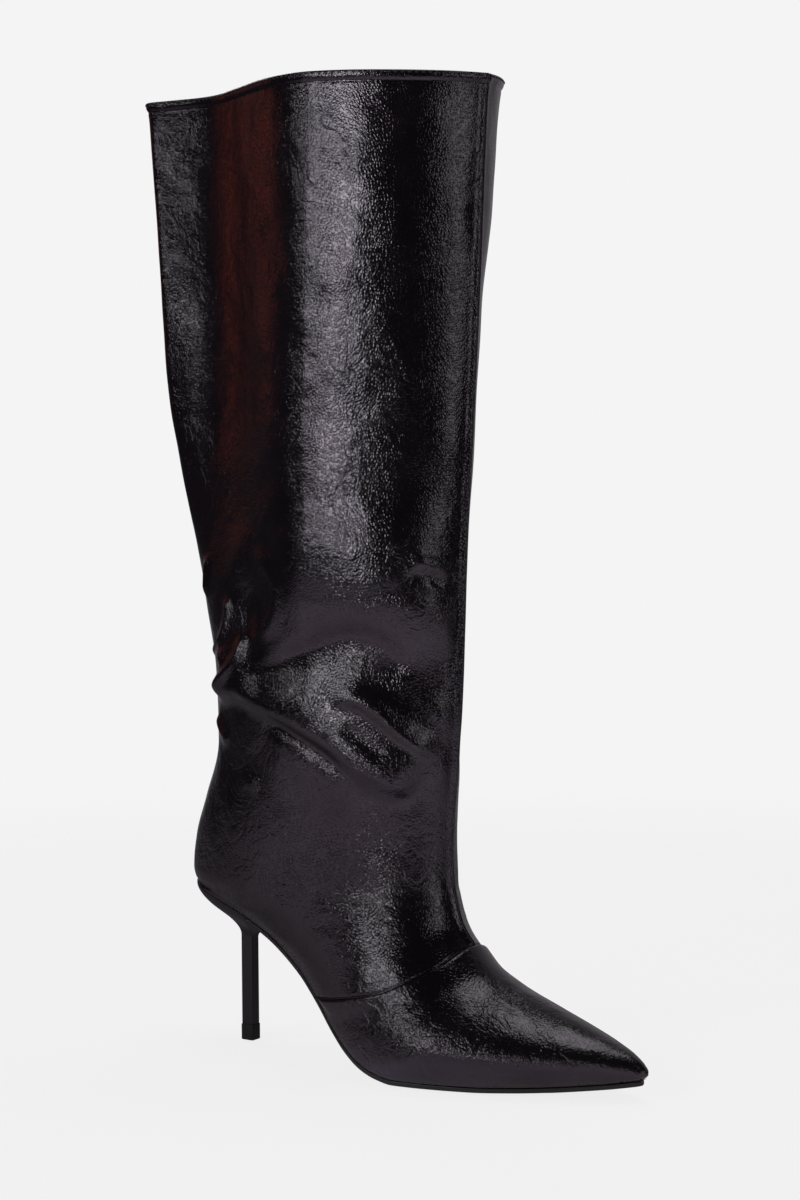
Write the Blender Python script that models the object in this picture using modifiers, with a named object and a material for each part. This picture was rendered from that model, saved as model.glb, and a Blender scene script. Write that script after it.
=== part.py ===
"""Knee-high stiletto boot, right foot, modelled as its maker's pieces.

The boot stands on its heel tip and on the tread of its outsole. The toe points along +X, the outer
(lateral) side faces -Y and +Z is up. Tables are in millimetres, measured from the back of the heel
seat, the boot's centre line and the floor; place() turns them into metres about the model's origin.

The leather is one function, leather_point(along, around): it sweeps a section plane from the level
collar down the shaft, tilts it round the instep and walks it along the sole to the toe. Shaft and
vamp are two parts of that surface, which meet along the curved vamp seam.
"""

import math
from collections import namedtuple

import bmesh
import bpy
import numpy as np

# ---- driving dimensions, in millimetres ----
MM = 0.001  # metres in a millimetre
TOE_X = 258.8  # heel seat's back to the tip of the toe
WALL = 1.6  # leather with its lining
GAP = 0.3  # clearance between pieces that touch
SEAT_GAP = 0.4  # clearance between the upper's curved lower edge and sole or heel
SOLE_THICKNESS = 2.3
SOLE_CROWN = 1.6  # how far the outsole's middle hangs below its edges under the forefoot
CROWN_START_X = 60.0
CROWN_FULL_X = 110.0
CROWN_FLAT = 0.6  # share of the width over which the crowned sole is flat
INSOLE_THICKNESS = 2.0
INSOLE_INSET = 2.6  # from the upper's lower edge to the insole's edge
INSOLE_END_X = 243.0
TAIL_RADIUS = 5.0  # half thickness of the shaft's flattened back fold
HEEL_BREAST_X = 49.0  # where the heel's front face meets the sole
HEEL_STEM_TOP = 50.0  # height where the stem starts to flare
HEEL_TIP_HEIGHT = 8.0
HEEL_TIP_SIZE = (7.3, 6.6)  # along X and along Y
HEEL_STEM_SIZE = (6.7, 6.0)  # along X and along Y
HEEL_STEM_X = 33.2  # centre of the stem
VAMP_PROUD = 0.8  # how far the vamp's edge stands over the shaft
VAMP_FADE = 14.0  # the distance over which that step fades out
SHAFT_BACK_X = -24.4  # back of the shaft at the collar

# The model's origin is on the floor, under the middle of the boot's outline.
ORIGIN_X = (SHAFT_BACK_X + TOE_X) / 2

# ---- the sole's outline and profile, heel to toe ----
# feather is the height of the edge where upper and sole meet.
SoleRow = namedtuple("SoleRow", "x feather lateral medial")
SOLE = (
    SoleRow(5.5, 80.2, 0.0, 0.0),
    SoleRow(6.6, 80.0, 6.4, 6.4),
    SoleRow(9.5, 79.5, 11.8, 11.8),
    SoleRow(14.0, 78.6, 16.2, 16.2),
    SoleRow(21.0, 76.9, 20.4, 20.4),
    SoleRow(32.0, 73.6, 23.4, 23.4),
    SoleRow(50.0, 66.6, 24.2, 23.0),
    SoleRow(67.0, 56.4, 23.4, 19.5),
    SoleRow(82.0, 43.8, 23.8, 16.4),
    SoleRow(94.0, 32.6, 27.0, 16.2),
    SoleRow(106.0, 22.4, 32.4, 18.6),
    SoleRow(118.0, 14.6, 38.2, 23.4),
    SoleRow(130.0, 8.6, 42.2, 29.4),
    SoleRow(140.0, 5.6, 43.5, 33.4),
    SoleRow(148.0, 4.3, 43.4, 35.2),
    SoleRow(156.0, 4.3, 42.4, 36.0),
    SoleRow(168.0, 4.3, 39.8, 36.0),
    SoleRow(184.0, 4.3, 35.0, 33.2),
    SoleRow(200.0, 4.8, 28.8, 27.8),
    SoleRow(216.0, 5.7, 21.6, 21.0),
    SoleRow(232.0, 7.1, 13.8, 13.4),
    SoleRow(244.0, 8.4, 7.8, 7.6),
    SoleRow(251.0, 9.4, 4.4, 4.3),
    SoleRow(255.0, 10.1, 2.2, 2.2),
    SoleRow(256.4, 10.4, 0.0, 0.0),
)

# ---- the leather's sections, collar to toe ----
# front and back are the two ends of a section on the centre line: shin and calf on the shaft, ridge
# and sole on the foot. lateral and medial are its greatest half widths, wide the place of them from
# back (0) to front (1). The noses and rear are the roundness of its front, on either side, and of its
# back (2 is an ellipse, less a ridge, more a box), and pinch how flat the shaft's back is folded.
Section = namedtuple(
    "Section", "front_x front_z back_x back_z lateral medial wide outer_nose inner_nose rear pinch"
)
SECTIONS = (
    Section(173.8, 465.5, -24.4, 465.5, 53.0, 53.0, 0.68, 1.48, 2.00, 2.00, 0.94),
    Section(171.0, 420.0, -21.4, 420.0, 53.0, 51.5, 0.68, 1.48, 1.88, 2.00, 0.93),
    Section(168.6, 365.0, -16.8, 365.0, 52.0, 47.5, 0.67, 1.48, 1.62, 2.00, 0.88),
    Section(165.4, 310.0, -10.0, 310.0, 50.0, 45.0, 0.66, 1.48, 1.50, 2.00, 0.76),
    Section(162.2, 262.0, 1.0, 262.0, 48.0, 43.5, 0.64, 1.50, 1.48, 2.00, 0.50),
    Section(160.4, 220.0, 12.0, 221.0, 46.0, 42.0, 0.60, 1.52, 1.42, 2.00, 0.22),
    Section(159.2, 182.0, 20.2, 184.0, 43.0, 40.0, 0.56, 1.56, 1.40, 2.00, 0.05),
    Section(156.4, 150.0, 22.0, 152.0, 40.0, 39.0, 0.54, 1.65, 1.50, 2.00, 0.0),
    Section(153.6, 122.0, 12.6, 123.0, 38.0, 39.0, 0.54, 1.80, 1.85, 2.00, 0.0),
    Section(152.6, 103.0, 4.6, 103.0, 36.5, 37.0, 0.56, 1.90, 2.00, 2.00, 0.0),
    Section(153.2, 92.0, 2.8, 90.0, 35.6, 34.4, 0.58, 2.00, 2.05, 2.10, 0.0),
    Section(153.8, 87.0, 3.2, 84.6, 35.2, 33.0, 0.59, 2.05, 2.05, 2.20, 0.0),
    Section(154.8, 82.8, 5.5, 80.2, 35.0, 32.0, 0.60, 2.10, 2.10, 2.25, 0.0),
    Section(155.8, 78.6, 20.0, 77.1, 35.0, 31.2, 0.58, 2.10, 2.10, 2.20, 0.0),
    Section(157.0, 74.4, 44.0, 69.2, 35.0, 30.4, 0.53, 2.10, 2.10, 2.25, 0.0),
    Section(159.0, 69.6, 67.0, 56.4, 35.4, 29.8, 0.48, 2.05, 2.05, 2.30, 0.0),
    Section(162.4, 64.6, 88.0, 38.2, 36.4, 30.2, 0.43, 2.00, 2.00, 2.30, 0.0),
    Section(168.2, 58.6, 106.0, 22.4, 39.0, 31.5, 0.38, 1.95, 1.95, 2.30, 0.0),
    Section(176.4, 52.2, 124.0, 11.4, 43.4, 34.5, 0.34, 1.85, 1.85, 2.40, 0.0),
    Section(186.4, 46.2, 144.0, 4.9, 45.8, 38.2, 0.30, 1.80, 1.80, 2.40, 0.0),
    Section(198.4, 40.8, 164.0, 4.3, 42.6, 38.2, 0.30, 1.75, 1.75, 2.40, 0.0),
    Section(211.6, 35.8, 186.0, 4.3, 35.8, 33.6, 0.32, 1.75, 1.75, 2.40, 0.0),
    Section(226.8, 30.4, 208.0, 5.2, 26.6, 25.8, 0.34, 1.80, 1.80, 2.40, 0.0),
    Section(241.4, 25.0, 228.0, 6.7, 16.8, 16.4, 0.36, 1.90, 1.90, 2.40, 0.0),
    Section(251.2, 20.4, 242.0, 8.2, 9.8, 9.6, 0.38, 2.00, 2.00, 2.40, 0.0),
    Section(256.2, 16.8, 250.4, 9.3, 5.6, 5.5, 0.40, 2.00, 2.00, 2.40, 0.0),
    Section(258.4, 14.0, 255.0, 10.1, 2.7, 2.7, 0.42, 2.00, 2.00, 2.40, 0.0),
    Section(258.8, 12.6, 256.4, 10.4, 0.4, 0.4, 0.45, 2.00, 2.00, 2.40, 0.0),
)

# ---- the vamp seam ----
# around runs from the outer lower edge (0) over the instep (0.5) to the inner lower edge (1). sole_x
# is where the section that the seam crosses there stands on the sole, in millimetres.
SeamRow = namedtuple("SeamRow", "around sole_x")
VAMP_SEAM = (
    SeamRow(0.00, 93.0),
    SeamRow(0.12, 99.0),
    SeamRow(0.25, 105.2),
    SeamRow(0.38, 104.4),
    SeamRow(0.50, 97.6),
    SeamRow(0.62, 104.4),
    SeamRow(0.75, 105.2),
    SeamRow(0.88, 99.0),
    SeamRow(1.00, 93.0),
)

# ---- mesh densities ----
LEATHER_COLUMNS = 40  # round the leg and over the foot
COLUMN_CROWDING = 0.45  # how much closer together they are at the back and over the shin
LEG_ROWS = 25  # collar to the back of the seat
SEAT_ROWS = 11  # seat's back to the vamp seam
VAMP_ROWS = 21
VAMP_TIP_ROWS = 3  # rows at the toe that are solid
OUTSOLE_ROWS = 44
INSOLE_ROWS = 36
HEEL_RING_POINTS = 32
HEEL_FLARE_RINGS = 10
SIDE_SAMPLES = 40

Finish = namedtuple("Finish", "name colour roughness metallic")
BLACK_LEATHER = Finish("black_leather", (0.012, 0.011, 0.013, 1.0), 0.28, 0.0)
HEEL_LACQUER = Finish("heel_cover", (0.014, 0.012, 0.016, 1.0), 0.22, 0.0)
SOLE_RUBBER = Finish("sole_rubber", (0.015, 0.015, 0.016, 1.0), 0.55, 0.0)
TIP_PLASTIC = Finish("tip_plastic", (0.010, 0.010, 0.010, 1.0), 0.5, 0.0)
INSOLE_LINING = Finish("insole_lining", (0.03, 0.028, 0.027, 1.0), 0.7, 0.0)


def smooth_through(knots, values):
    """A smooth curve through the values at rising knots, as a function of position."""
    knots = np.asarray(knots, float)
    values = np.asarray(values, float)
    steps = np.diff(knots)
    slopes = np.diff(values) / steps
    tangents = np.empty_like(values)
    tangents[0] = slopes[0]
    tangents[-1] = slopes[-1]
    before, after = steps[:-1], steps[1:]
    tangents[1:-1] = (slopes[:-1] * after + slopes[1:] * before) / (before + after)
    tangents[1:-1][slopes[:-1] * slopes[1:] <= 0] = 0.0

    def value_at(position):
        position = np.clip(position, knots[0], knots[-1])
        i = np.clip(np.searchsorted(knots, position, side="right") - 1, 0, len(steps) - 1)
        t = (position - knots[i]) / steps[i]
        t2, t3 = t * t, t * t * t
        return (
            (2 * t3 - 3 * t2 + 1) * values[i]
            + (t3 - 2 * t2 + t) * steps[i] * tangents[i]
            + (3 * t2 - 2 * t3) * values[i + 1]
            + (t3 - t2) * steps[i] * tangents[i + 1]
        )

    return value_at


def ease(t):
    """0 to 1 with level ends."""
    t = np.clip(t, 0.0, 1.0)
    return t * t * (3 - 2 * t)


def column(rows, name):
    return [getattr(row, name) for row in rows]


# ---- the sole's line and outline as functions of x ----
sole_x = column(SOLE, "x")
feather_at = smooth_through(sole_x, column(SOLE, "feather"))


def rounded_end(x):
    """Distance along the sole, stretched at heel and toe so that their round ends interpolate well."""
    reach = 14.0
    heel = np.sqrt(np.clip((x - SOLE[0].x) / reach, 0.0, 1.0))
    toe = np.sqrt(np.clip((SOLE[-1].x - x) / reach, 0.0, 1.0))
    return x + reach * (heel - toe)


lateral_curve = smooth_through([rounded_end(x) for x in sole_x], column(SOLE, "lateral"))
medial_curve = smooth_through([rounded_end(x) for x in sole_x], column(SOLE, "medial"))


def edge_half_width(x, curve):
    """Half width of the sole at x on one side, 0 beyond its ends."""
    inside = (x > SOLE[0].x) and (x < SOLE[-1].x)
    return max(float(curve(rounded_end(x))), 0.0) if inside else 0.0


def outline_point(x, curve, inset):
    """A point (x, half width) of the sole's outline at x, moved inwards across the outline by inset."""
    step = 0.05
    low, high = max(x - step, SOLE[0].x), min(x + step, SOLE[-1].x)
    rise = (edge_half_width(high, curve) - edge_half_width(low, curve)) / (high - low)
    length = math.hypot(1.0, rise)
    return x + inset * rise / length, edge_half_width(x, curve) - inset / length


# ---- the leather surface ----
def section_positions():
    """Each section's position along the leather: the mean path of its two ends, in millimetres."""
    position, positions = 0.0, [0.0]
    for a, b in zip(SECTIONS, SECTIONS[1:]):
        front = math.hypot(b.front_x - a.front_x, b.front_z - a.front_z)
        back = math.hypot(b.back_x - a.back_x, b.back_z - a.back_z)
        position += (front + back) / 2
        positions.append(position)
    return positions


section_at = section_positions()
LEATHER_LENGTH = section_at[-1]
section_curves = {name: smooth_through(section_at, column(SECTIONS, name)) for name in Section._fields}
FIRST_OPEN = section_at[[row.back_x == SOLE[0].x for row in SECTIONS].index(True)]


def section_of(along):
    """The interpolated section at a position along the leather, its lower end on the sole's line."""
    row = Section(*(float(section_curves[name](along)) for name in Section._fields))
    if along >= FIRST_OPEN:
        row = row._replace(back_z=float(feather_at(row.back_x)))
    return row


def side_curve(row, half_width, nose, floor):
    """Points (s, y) of one side of a section, from its back end (s 0) to its front end (s 1)."""
    sigma = np.linspace(0.0, 1.0, SIDE_SAMPLES)
    floor_share = min(floor / half_width, 0.999)
    cut = (1 - floor_share**row.rear) ** (1 / row.rear)
    rear = cut * (1 - sigma**2)
    front = 1 - (1 - sigma[1:]) ** 2
    s = np.concatenate([row.wide * (1 - rear / cut), row.wide + (1 - row.wide) * front])
    y = half_width * np.concatenate(
        [
            np.clip(1 - rear**row.rear, 0, 1) ** (1 / row.rear),
            np.clip(1 - front**nose, 0, 1) ** (1 / nose),
        ]
    )
    if row.pinch > 0:
        y = y * (1 - row.pinch * (1 - ease((s - 0.1) / (row.wide - 0.1))))
        length = math.hypot(row.front_x - row.back_x, row.front_z - row.back_z)
        cap = 1 - np.clip(s * length / TAIL_RADIUS, 0, 1)
        tail = TAIL_RADIUS * np.sqrt(1 - cap**2) * (s < row.wide) * ease(row.pinch * 4)
        y = (y**3 + tail**3) ** (1 / 3)
    return s, y


def leather_point(along, around):
    """A point of the leather's outer surface, in millimetres.

    along runs from the collar (0) to the toe (LEATHER_LENGTH). around runs from the outer lower edge
    (0) over the front (0.5) to the inner lower edge (1), by length along the section.
    """
    row = section_of(along)
    outer = around <= 0.5
    curve = lateral_curve if outer else medial_curve
    floor = edge_half_width(row.back_x, curve) if along >= FIRST_OPEN else 0.0
    half_width, nose = (row.lateral, row.outer_nose) if outer else (row.medial, row.inner_nose)
    s, y = side_curve(row, half_width, nose, floor)
    length = math.hypot(row.front_x - row.back_x, row.front_z - row.back_z)
    run = np.concatenate([[0.0], np.cumsum(np.hypot(np.diff(s * length), np.diff(y)))])
    share = 2 * around if outer else 2 * (1 - around)
    s_here = float(np.interp(share * run[-1], run, s))
    y_here = float(np.interp(share * run[-1], run, y))
    return np.array(
        [
            row.back_x + s_here * (row.front_x - row.back_x),
            -y_here if outer else y_here,
            row.back_z + s_here * (row.front_z - row.back_z),
        ]
    )


def inward_normal(along, around):
    """Unit normal of the leather, pointing into the boot."""
    along_step, around_step = 0.5, 0.004
    near, far = max(along - along_step, 0.0), min(along + along_step, LEATHER_LENGTH)
    left, right = max(around - around_step, 0.0), min(around + around_step, 1.0)
    down = leather_point(far, around) - leather_point(near, around)
    across = leather_point(along, right) - leather_point(along, left)
    normal = np.cross(across, down)
    return normal / np.linalg.norm(normal)


def column_place(j):
    """The place of a column round the leather, from the outer lower edge (0) to the inner one (1)."""
    share = j / LEATHER_COLUMNS
    return share - COLUMN_CROWDING * math.sin(4 * math.pi * share) / (4 * math.pi)


def leather_grid(starts, ends, rows, spacing):
    """Leather points and inward normals between two seams, given as a position for each column."""
    columns = len(starts) - 1
    points = np.zeros((rows + 1, columns + 1, 3))
    normals = np.zeros((rows + 1, columns + 1, 3))
    for i in range(rows + 1):
        share = spacing(i / rows)
        for j in range(columns + 1):
            along = starts[j] + (ends[j] - starts[j]) * share
            points[i, j] = leather_point(along, column_place(j))
            normals[i, j] = inward_normal(along, column_place(j))
    return points, normals


def along_of_sole_x(x):
    """The position along the leather whose section stands on the sole at x."""
    low, high = FIRST_OPEN, LEATHER_LENGTH
    for _ in range(40):
        middle = (low + high) / 2
        if section_of(middle).back_x < x:
            low = middle
        else:
            high = middle
    return (low + high) / 2


seam_curve = smooth_through(column(VAMP_SEAM, "around"), [along_of_sole_x(row.sole_x) for row in VAMP_SEAM])


# ---- mesh helpers ----
def place(point):
    """A point in millimetres from the heel, in metres about the model's origin."""
    return ((point[0] - ORIGIN_X) * MM, point[1] * MM, point[2] * MM)


def finish_material(finish):
    material = bpy.data.materials.get(finish.name)
    if material is None:
        material = bpy.data.materials.new(finish.name)
        material.use_nodes = True
        shader = material.node_tree.nodes["Principled BSDF"]
        shader.inputs["Base Color"].default_value = finish.colour
        shader.inputs["Roughness"].default_value = finish.roughness
        shader.inputs["Metallic"].default_value = finish.metallic
    return material


def add_object(name, bm, finish, collection):
    """Makes a named object of a bmesh, welded and with its faces pointing out."""
    bmesh.ops.remove_doubles(bm, verts=bm.verts, dist=0.02 * MM)
    bmesh.ops.dissolve_degenerate(bm, edges=bm.edges, dist=0.01 * MM)
    bmesh.ops.recalc_face_normals(bm, faces=bm.faces)
    if bm.calc_volume(signed=True) < 0:
        bmesh.ops.reverse_faces(bm, faces=bm.faces)
    mesh = bpy.data.meshes.new(name)
    bm.to_mesh(mesh)
    bm.free()
    mesh.materials.append(finish_material(finish))
    mesh.shade_smooth()
    mesh.set_sharp_from_angle(angle=math.radians(40))
    obj = bpy.data.objects.new(name, mesh)
    collection.objects.link(obj)
    return obj


def skin(rings, closed):
    """A bmesh through rows of points; closed rings also join their last point to their first."""
    bm = bmesh.new()
    rows = [[bm.verts.new(place(point)) for point in ring] for ring in rings]
    count = len(rows[0])
    last = count if closed else count - 1
    for near, far in zip(rows, rows[1:]):
        for i in range(last):
            j = (i + 1) % count
            bm.faces.new((near[i], far[i], far[j], near[j]))
    return bm, rows


def cap_across(bm, row):
    """Closes a ring that is even about its first point, by strips from side to side."""
    count = len(row)
    bm.faces.new((row[0], row[1], row[-1]))
    for i in range(1, count // 2 - 1):
        bm.faces.new((row[i], row[i + 1], row[count - i - 1], row[count - i]))
    half = count // 2
    bm.faces.new((row[half - 1], row[half], row[half + 1]))


def moved_skin(points, normals, distance, first_open):
    """A leather grid moved inwards by a distance (a number or one for each point).

    Its ends stay on the centre line above first_open, and flat on the sole from there on.
    """
    distance = np.broadcast_to(np.asarray(distance, float), points.shape[:2])
    moved = points + distance[..., None] * normals
    for i in range(len(points)):
        if i < first_open:
            moved[i, 0, 1] = 0.0
            moved[i, -1] = moved[i, 0]
            continue
        for j, curve, side in ((0, lateral_curve, -1), (-1, medial_curve, 1)):
            x, half_width = outline_point(points[i, j, 0], curve, distance[i, j])
            half_width = 0.0 if i == first_open and first_open > 0 else half_width
            moved[i, j] = (x, side * half_width, float(feather_at(x)))
    return moved


def shell_between(outer, inner, first_open):
    """A closed bmesh between two skins of leather that are open below from row first_open on.

    Where the inner skin has fewer rows than the outer one, the rest of the piece is solid.
    """
    bm, outside = skin(outer, closed=False)
    inside = [[bm.verts.new(place(point)) for point in ring] for ring in inner]
    columns = len(outer[0]) - 1
    for near, far in zip(inside, inside[1:]):
        for j in range(columns):
            bm.faces.new((near[j], near[j + 1], far[j + 1], far[j]))
    for j in range(columns):
        bm.faces.new((outside[0][j], outside[0][j + 1], inside[0][j + 1]))
        bm.faces.new((outside[0][j], inside[0][j + 1], inside[0][j]))
    for i in range(first_open, len(inside) - 1):
        bm.faces.new((outside[i][0], inside[i][0], inside[i + 1][0], outside[i + 1][0]))
        bm.faces.new((outside[i][-1], outside[i + 1][-1], inside[i + 1][-1], inside[i][-1]))
    if len(inside) == len(outside):
        for j in range(columns):
            bm.faces.new((outside[-1][j], inside[-1][j + 1], outside[-1][j + 1]))
            bm.faces.new((outside[-1][j], inside[-1][j], inside[-1][j + 1]))
        return bm
    end = len(inside) - 1
    bm.faces.new(inside[end])
    step = outside[end + 1]
    bm.faces.new((outside[end][0], inside[end][0], inside[end][-1], outside[end][-1], step[-1], step[0]))
    for near, far in zip(outside[end + 1 :], outside[end + 2 :]):
        bm.faces.new((near[0], near[-1], far[-1], far[0]))
    bm.faces.new(outside[-1])
    return bm


# ---- pieces ----
def seam_positions(offset):
    """The vamp seam's position along the leather at each column, moved towards the toe by offset."""
    positions = []
    for j in range(LEATHER_COLUMNS + 1):
        around = column_place(j)
        low, high = max(around - 0.004, 0.0), min(around + 0.004, 1.0)
        along = float(seam_curve(around))
        tangent = leather_point(float(seam_curve(high)), high) - leather_point(float(seam_curve(low)), low)
        step = leather_point(along + 0.5, around) - leather_point(along - 0.5, around)
        across = np.linalg.norm(np.cross(step, tangent)) / np.linalg.norm(tangent)
        positions.append(along + offset / across)
    return positions


def build_shaft(collection):
    """Leg and heel part of the upper, from the collar to the vamp seam and down to the seat."""
    columns = LEATHER_COLUMNS + 1
    seat = [FIRST_OPEN] * columns
    leg, leg_normals = leather_grid([0.0] * columns, seat, LEG_ROWS, lambda t: t)
    foot, foot_normals = leather_grid(seat, seam_positions(-GAP / 2), SEAT_ROWS, lambda t: t**1.8)
    outer = np.concatenate([leg, foot[1:]])
    normals = np.concatenate([leg_normals, foot_normals[1:]])
    inner = moved_skin(outer, normals, WALL, LEG_ROWS)
    add_object("shaft", shell_between(outer, inner, LEG_ROWS), BLACK_LEATHER, collection)


def build_vamp(collection):
    """Toe part of the upper, whose back edge stands over the shaft and whose tip is solid."""
    toe = [LEATHER_LENGTH] * (LEATHER_COLUMNS + 1)
    points, normals = leather_grid(seam_positions(GAP / 2), toe, VAMP_ROWS, lambda t: 1 - (1 - t) ** 1.5)
    hollow = slice(0, VAMP_ROWS + 1 - VAMP_TIP_ROWS)
    inner = moved_skin(points[hollow], normals[hollow], WALL, 0)
    from_seam = np.linalg.norm(points - points[0], axis=2)
    from_sole = np.minimum(
        np.linalg.norm(points - points[:, :1], axis=2), np.linalg.norm(points - points[:, -1:], axis=2)
    )
    proud = VAMP_PROUD * (1 - ease(from_seam / VAMP_FADE)) * ease(from_sole / VAMP_FADE)
    outer = moved_skin(points, normals, -proud, 0)
    add_object("vamp", shell_between(outer, inner, 0), BLACK_LEATHER, collection)


def sole_slope_factor(x):
    """How much longer the sole's line is than its run along x, from its slope."""
    step = 0.5
    rise = float(feather_at(x + step) - feather_at(x - step)) / (2 * step)
    return math.hypot(1.0, rise)


def sole_height(x, above):
    """Height of the surface that lies parallel to the feather line, above it by the given distance."""
    return float(feather_at(x)) + above * sole_slope_factor(x)


def crown_at(x):
    """How far the sole's middle hangs below its edges at x."""
    toe_share = min((SOLE[-1].x - x) / 40, 1.0)
    return SOLE_CROWN * float(ease((x - CROWN_START_X) / (CROWN_FULL_X - CROWN_START_X))) * toe_share


def plate_ring(x, inset, top, bottom, edge):
    """A plate's section, whose lower corners are taken off by edge and whose middle hangs by the crown."""
    outer_x, outer_y = outline_point(x, lateral_curve, inset)
    inner_x, inner_y = outline_point(x, medial_curve, inset)
    low_outer_x, low_outer_y = outline_point(x, lateral_curve, inset + edge)
    low_inner_x, low_inner_y = outline_point(x, medial_curve, inset + edge)
    crown = crown_at(x)
    flat_x = x + CROWN_FLAT * (outer_x - x)
    flat_top = sole_height(flat_x, top) - crown
    flat_bottom = sole_height(flat_x, bottom) - crown
    return [
        (flat_x, 0.0, flat_top),
        (flat_x, -CROWN_FLAT * outer_y, flat_top),
        (outer_x, -outer_y, sole_height(outer_x, top)),
        (outer_x, -outer_y, sole_height(outer_x, bottom + edge)),
        (low_outer_x, -low_outer_y, sole_height(low_outer_x, bottom)),
        (flat_x, -CROWN_FLAT * outer_y, flat_bottom),
        (flat_x, 0.0, flat_bottom),
        (flat_x, CROWN_FLAT * inner_y, flat_bottom),
        (low_inner_x, low_inner_y, sole_height(low_inner_x, bottom)),
        (inner_x, inner_y, sole_height(inner_x, bottom + edge)),
        (inner_x, inner_y, sole_height(inner_x, top)),
        (flat_x, CROWN_FLAT * inner_y, flat_top),
    ]


def plate(name, xs, inset, top, bottom, edge, finish, collection):
    """A curved plate along the sole, inside its outline by inset, between two heights over its line."""
    bm, rows = skin([plate_ring(x, inset, top, bottom, edge) for x in xs], closed=True)
    bm.faces.new(rows[0])
    bm.faces.new(rows[-1])
    add_object(name, bm, finish, collection)


def build_outsole(collection):
    """Thin sole from the heel's breast to the toe, level under the ball of the foot."""
    start, end = HEEL_BREAST_X + GAP, SOLE[-1].x - 0.6
    xs = [start + (end - start) * (1 - (1 - i / OUTSOLE_ROWS) ** 1.4) for i in range(OUTSOLE_ROWS + 1)]
    plate("outsole", xs, 0.0, -SEAT_GAP, -SEAT_GAP - SOLE_THICKNESS, 0.5, SOLE_RUBBER, collection)


def build_insole(collection):
    """Inner sole, which lies on outsole and heel inside the upper's lower edge."""
    start, end = SOLE[0].x + 0.6, INSOLE_END_X
    xs = [start + (end - start) * (i / INSOLE_ROWS) ** 1.5 for i in range(INSOLE_ROWS + 1)]
    plate("insole", xs, INSOLE_INSET, INSOLE_THICKNESS, 0.0, 0.3, INSOLE_LINING, collection)


def square_ring(size_x, size_y, corner, count):
    """A rounded rectangle about the stem's axis, from its front middle round by the outer side."""
    half_x, half_y = size_x / 2, size_y / 2
    per_side = count // 4
    points = []
    for i in range(count):
        side, step = divmod(i + per_side // 2, per_side)
        t = step / per_side
        square = ((1, 1 - 2 * t), (1 - 2 * t, -1), (-1, -1 + 2 * t), (-1 + 2 * t, 1))[side % 4]
        x, y = square[0] * half_x, square[1] * half_y
        if step == 0:
            x, y = math.copysign(half_x - corner, x), math.copysign(half_y - corner, y)
        points.append((x, y))
    return points


def build_heel(collection):
    """Covered stiletto heel: a square stem that flares into the seat's outline."""
    count = HEEL_RING_POINTS
    stem = square_ring(*HEEL_STEM_SIZE, 0.9, count)
    seat = seat_outline(count)
    rings = []
    for height in (HEEL_TIP_HEIGHT + GAP, HEEL_STEM_TOP):
        rings.append([(HEEL_STEM_X + x, y, height) for x, y in stem])
    for i in range(1, HEEL_FLARE_RINGS + 1):
        t = i / HEEL_FLARE_RINGS
        flare = float(ease((t - 0.1) / 0.9))
        ring = []
        for (stem_x, stem_y), (seat_x, seat_y) in zip(stem, seat):
            seat_z = sole_height(seat_x, -SEAT_GAP)
            ring.append(
                (
                    (HEEL_STEM_X + stem_x) * (1 - flare) + seat_x * flare,
                    stem_y * (1 - flare) + seat_y * flare,
                    HEEL_STEM_TOP * (1 - t) + seat_z * t,
                )
            )
        rings.append(ring)
    bm, rows = skin(rings, closed=True)
    bm.faces.new(rows[0])
    cap_across(bm, rows[-1])
    add_object("heel", bm, HEEL_LACQUER, collection)


def seat_outline(count):
    """The heel seat's outline in step with square_ring: breast, outer side, back and inner side."""
    breast = HEEL_BREAST_X - GAP
    per_side = count // 4
    reach = breast - SOLE[0].x
    points = []
    for i in range(count):
        side, step = divmod(i + per_side // 2, per_side)
        t = step / per_side
        if side % 4 == 0:
            lateral = edge_half_width(breast, lateral_curve)
            medial = edge_half_width(breast, medial_curve)
            points.append((breast, medial - t * (lateral + medial)))
            continue
        # The back half runs evenly in angle: 0 at the breast's corner, 1 at the middle of the back.
        turn = {1: t * 2 / 3, 2: 2 / 3 + (1 - abs(2 * t - 1)) / 3, 3: (1 - t) * 2 / 3}[side % 4]
        outer = side % 4 == 1 or (side % 4 == 2 and t <= 0.5)
        x = SOLE[0].x + reach * (1 - math.sin(turn * math.pi / 2))
        curve = lateral_curve if outer else medial_curve
        y = edge_half_width(x, curve)
        points.append((x, -y if outer else y))
    return points


def build_heel_tip(collection):
    """Hard-wearing top piece under the stem."""
    size_x, size_y = HEEL_TIP_SIZE
    bpy.ops.mesh.primitive_cube_add(size=1.0, location=place((HEEL_STEM_X, 0.0, HEEL_TIP_HEIGHT / 2)))
    tip = bpy.context.active_object
    tip.name = "heel_tip"
    for vertex in tip.data.vertices:
        vertex.co.x *= size_x * MM
        vertex.co.y *= size_y * MM
        vertex.co.z *= HEEL_TIP_HEIGHT * MM
    tip.data.materials.append(finish_material(TIP_PLASTIC))
    edge = tip.modifiers.new("edge", "BEVEL")
    edge.width = 0.6 * MM
    edge.segments = 2
    for owner in list(tip.users_collection):
        owner.objects.unlink(tip)
    collection.objects.link(tip)


def main():
    for obj in list(bpy.data.objects):
        bpy.data.objects.remove(obj)
    collection = bpy.data.collections.new("stiletto_boot")
    bpy.context.scene.collection.children.link(collection)
    build_outsole(collection)
    build_insole(collection)
    build_heel_tip(collection)
    build_heel(collection)
    build_vamp(collection)
    build_shaft(collection)


main()
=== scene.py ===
"""Knee-high stiletto boot: glossy black leather with folds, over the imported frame.

Sizes are in millimetres, measured from the back of the heel seat, the boot's centre line and the
floor, as in the frame's own source; ORIGIN_X moves them to the frame's origin.
"""

import logging
import math
from dataclasses import dataclass
from enum import Enum
from typing import Callable, Iterable, NamedTuple, Sequence

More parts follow.
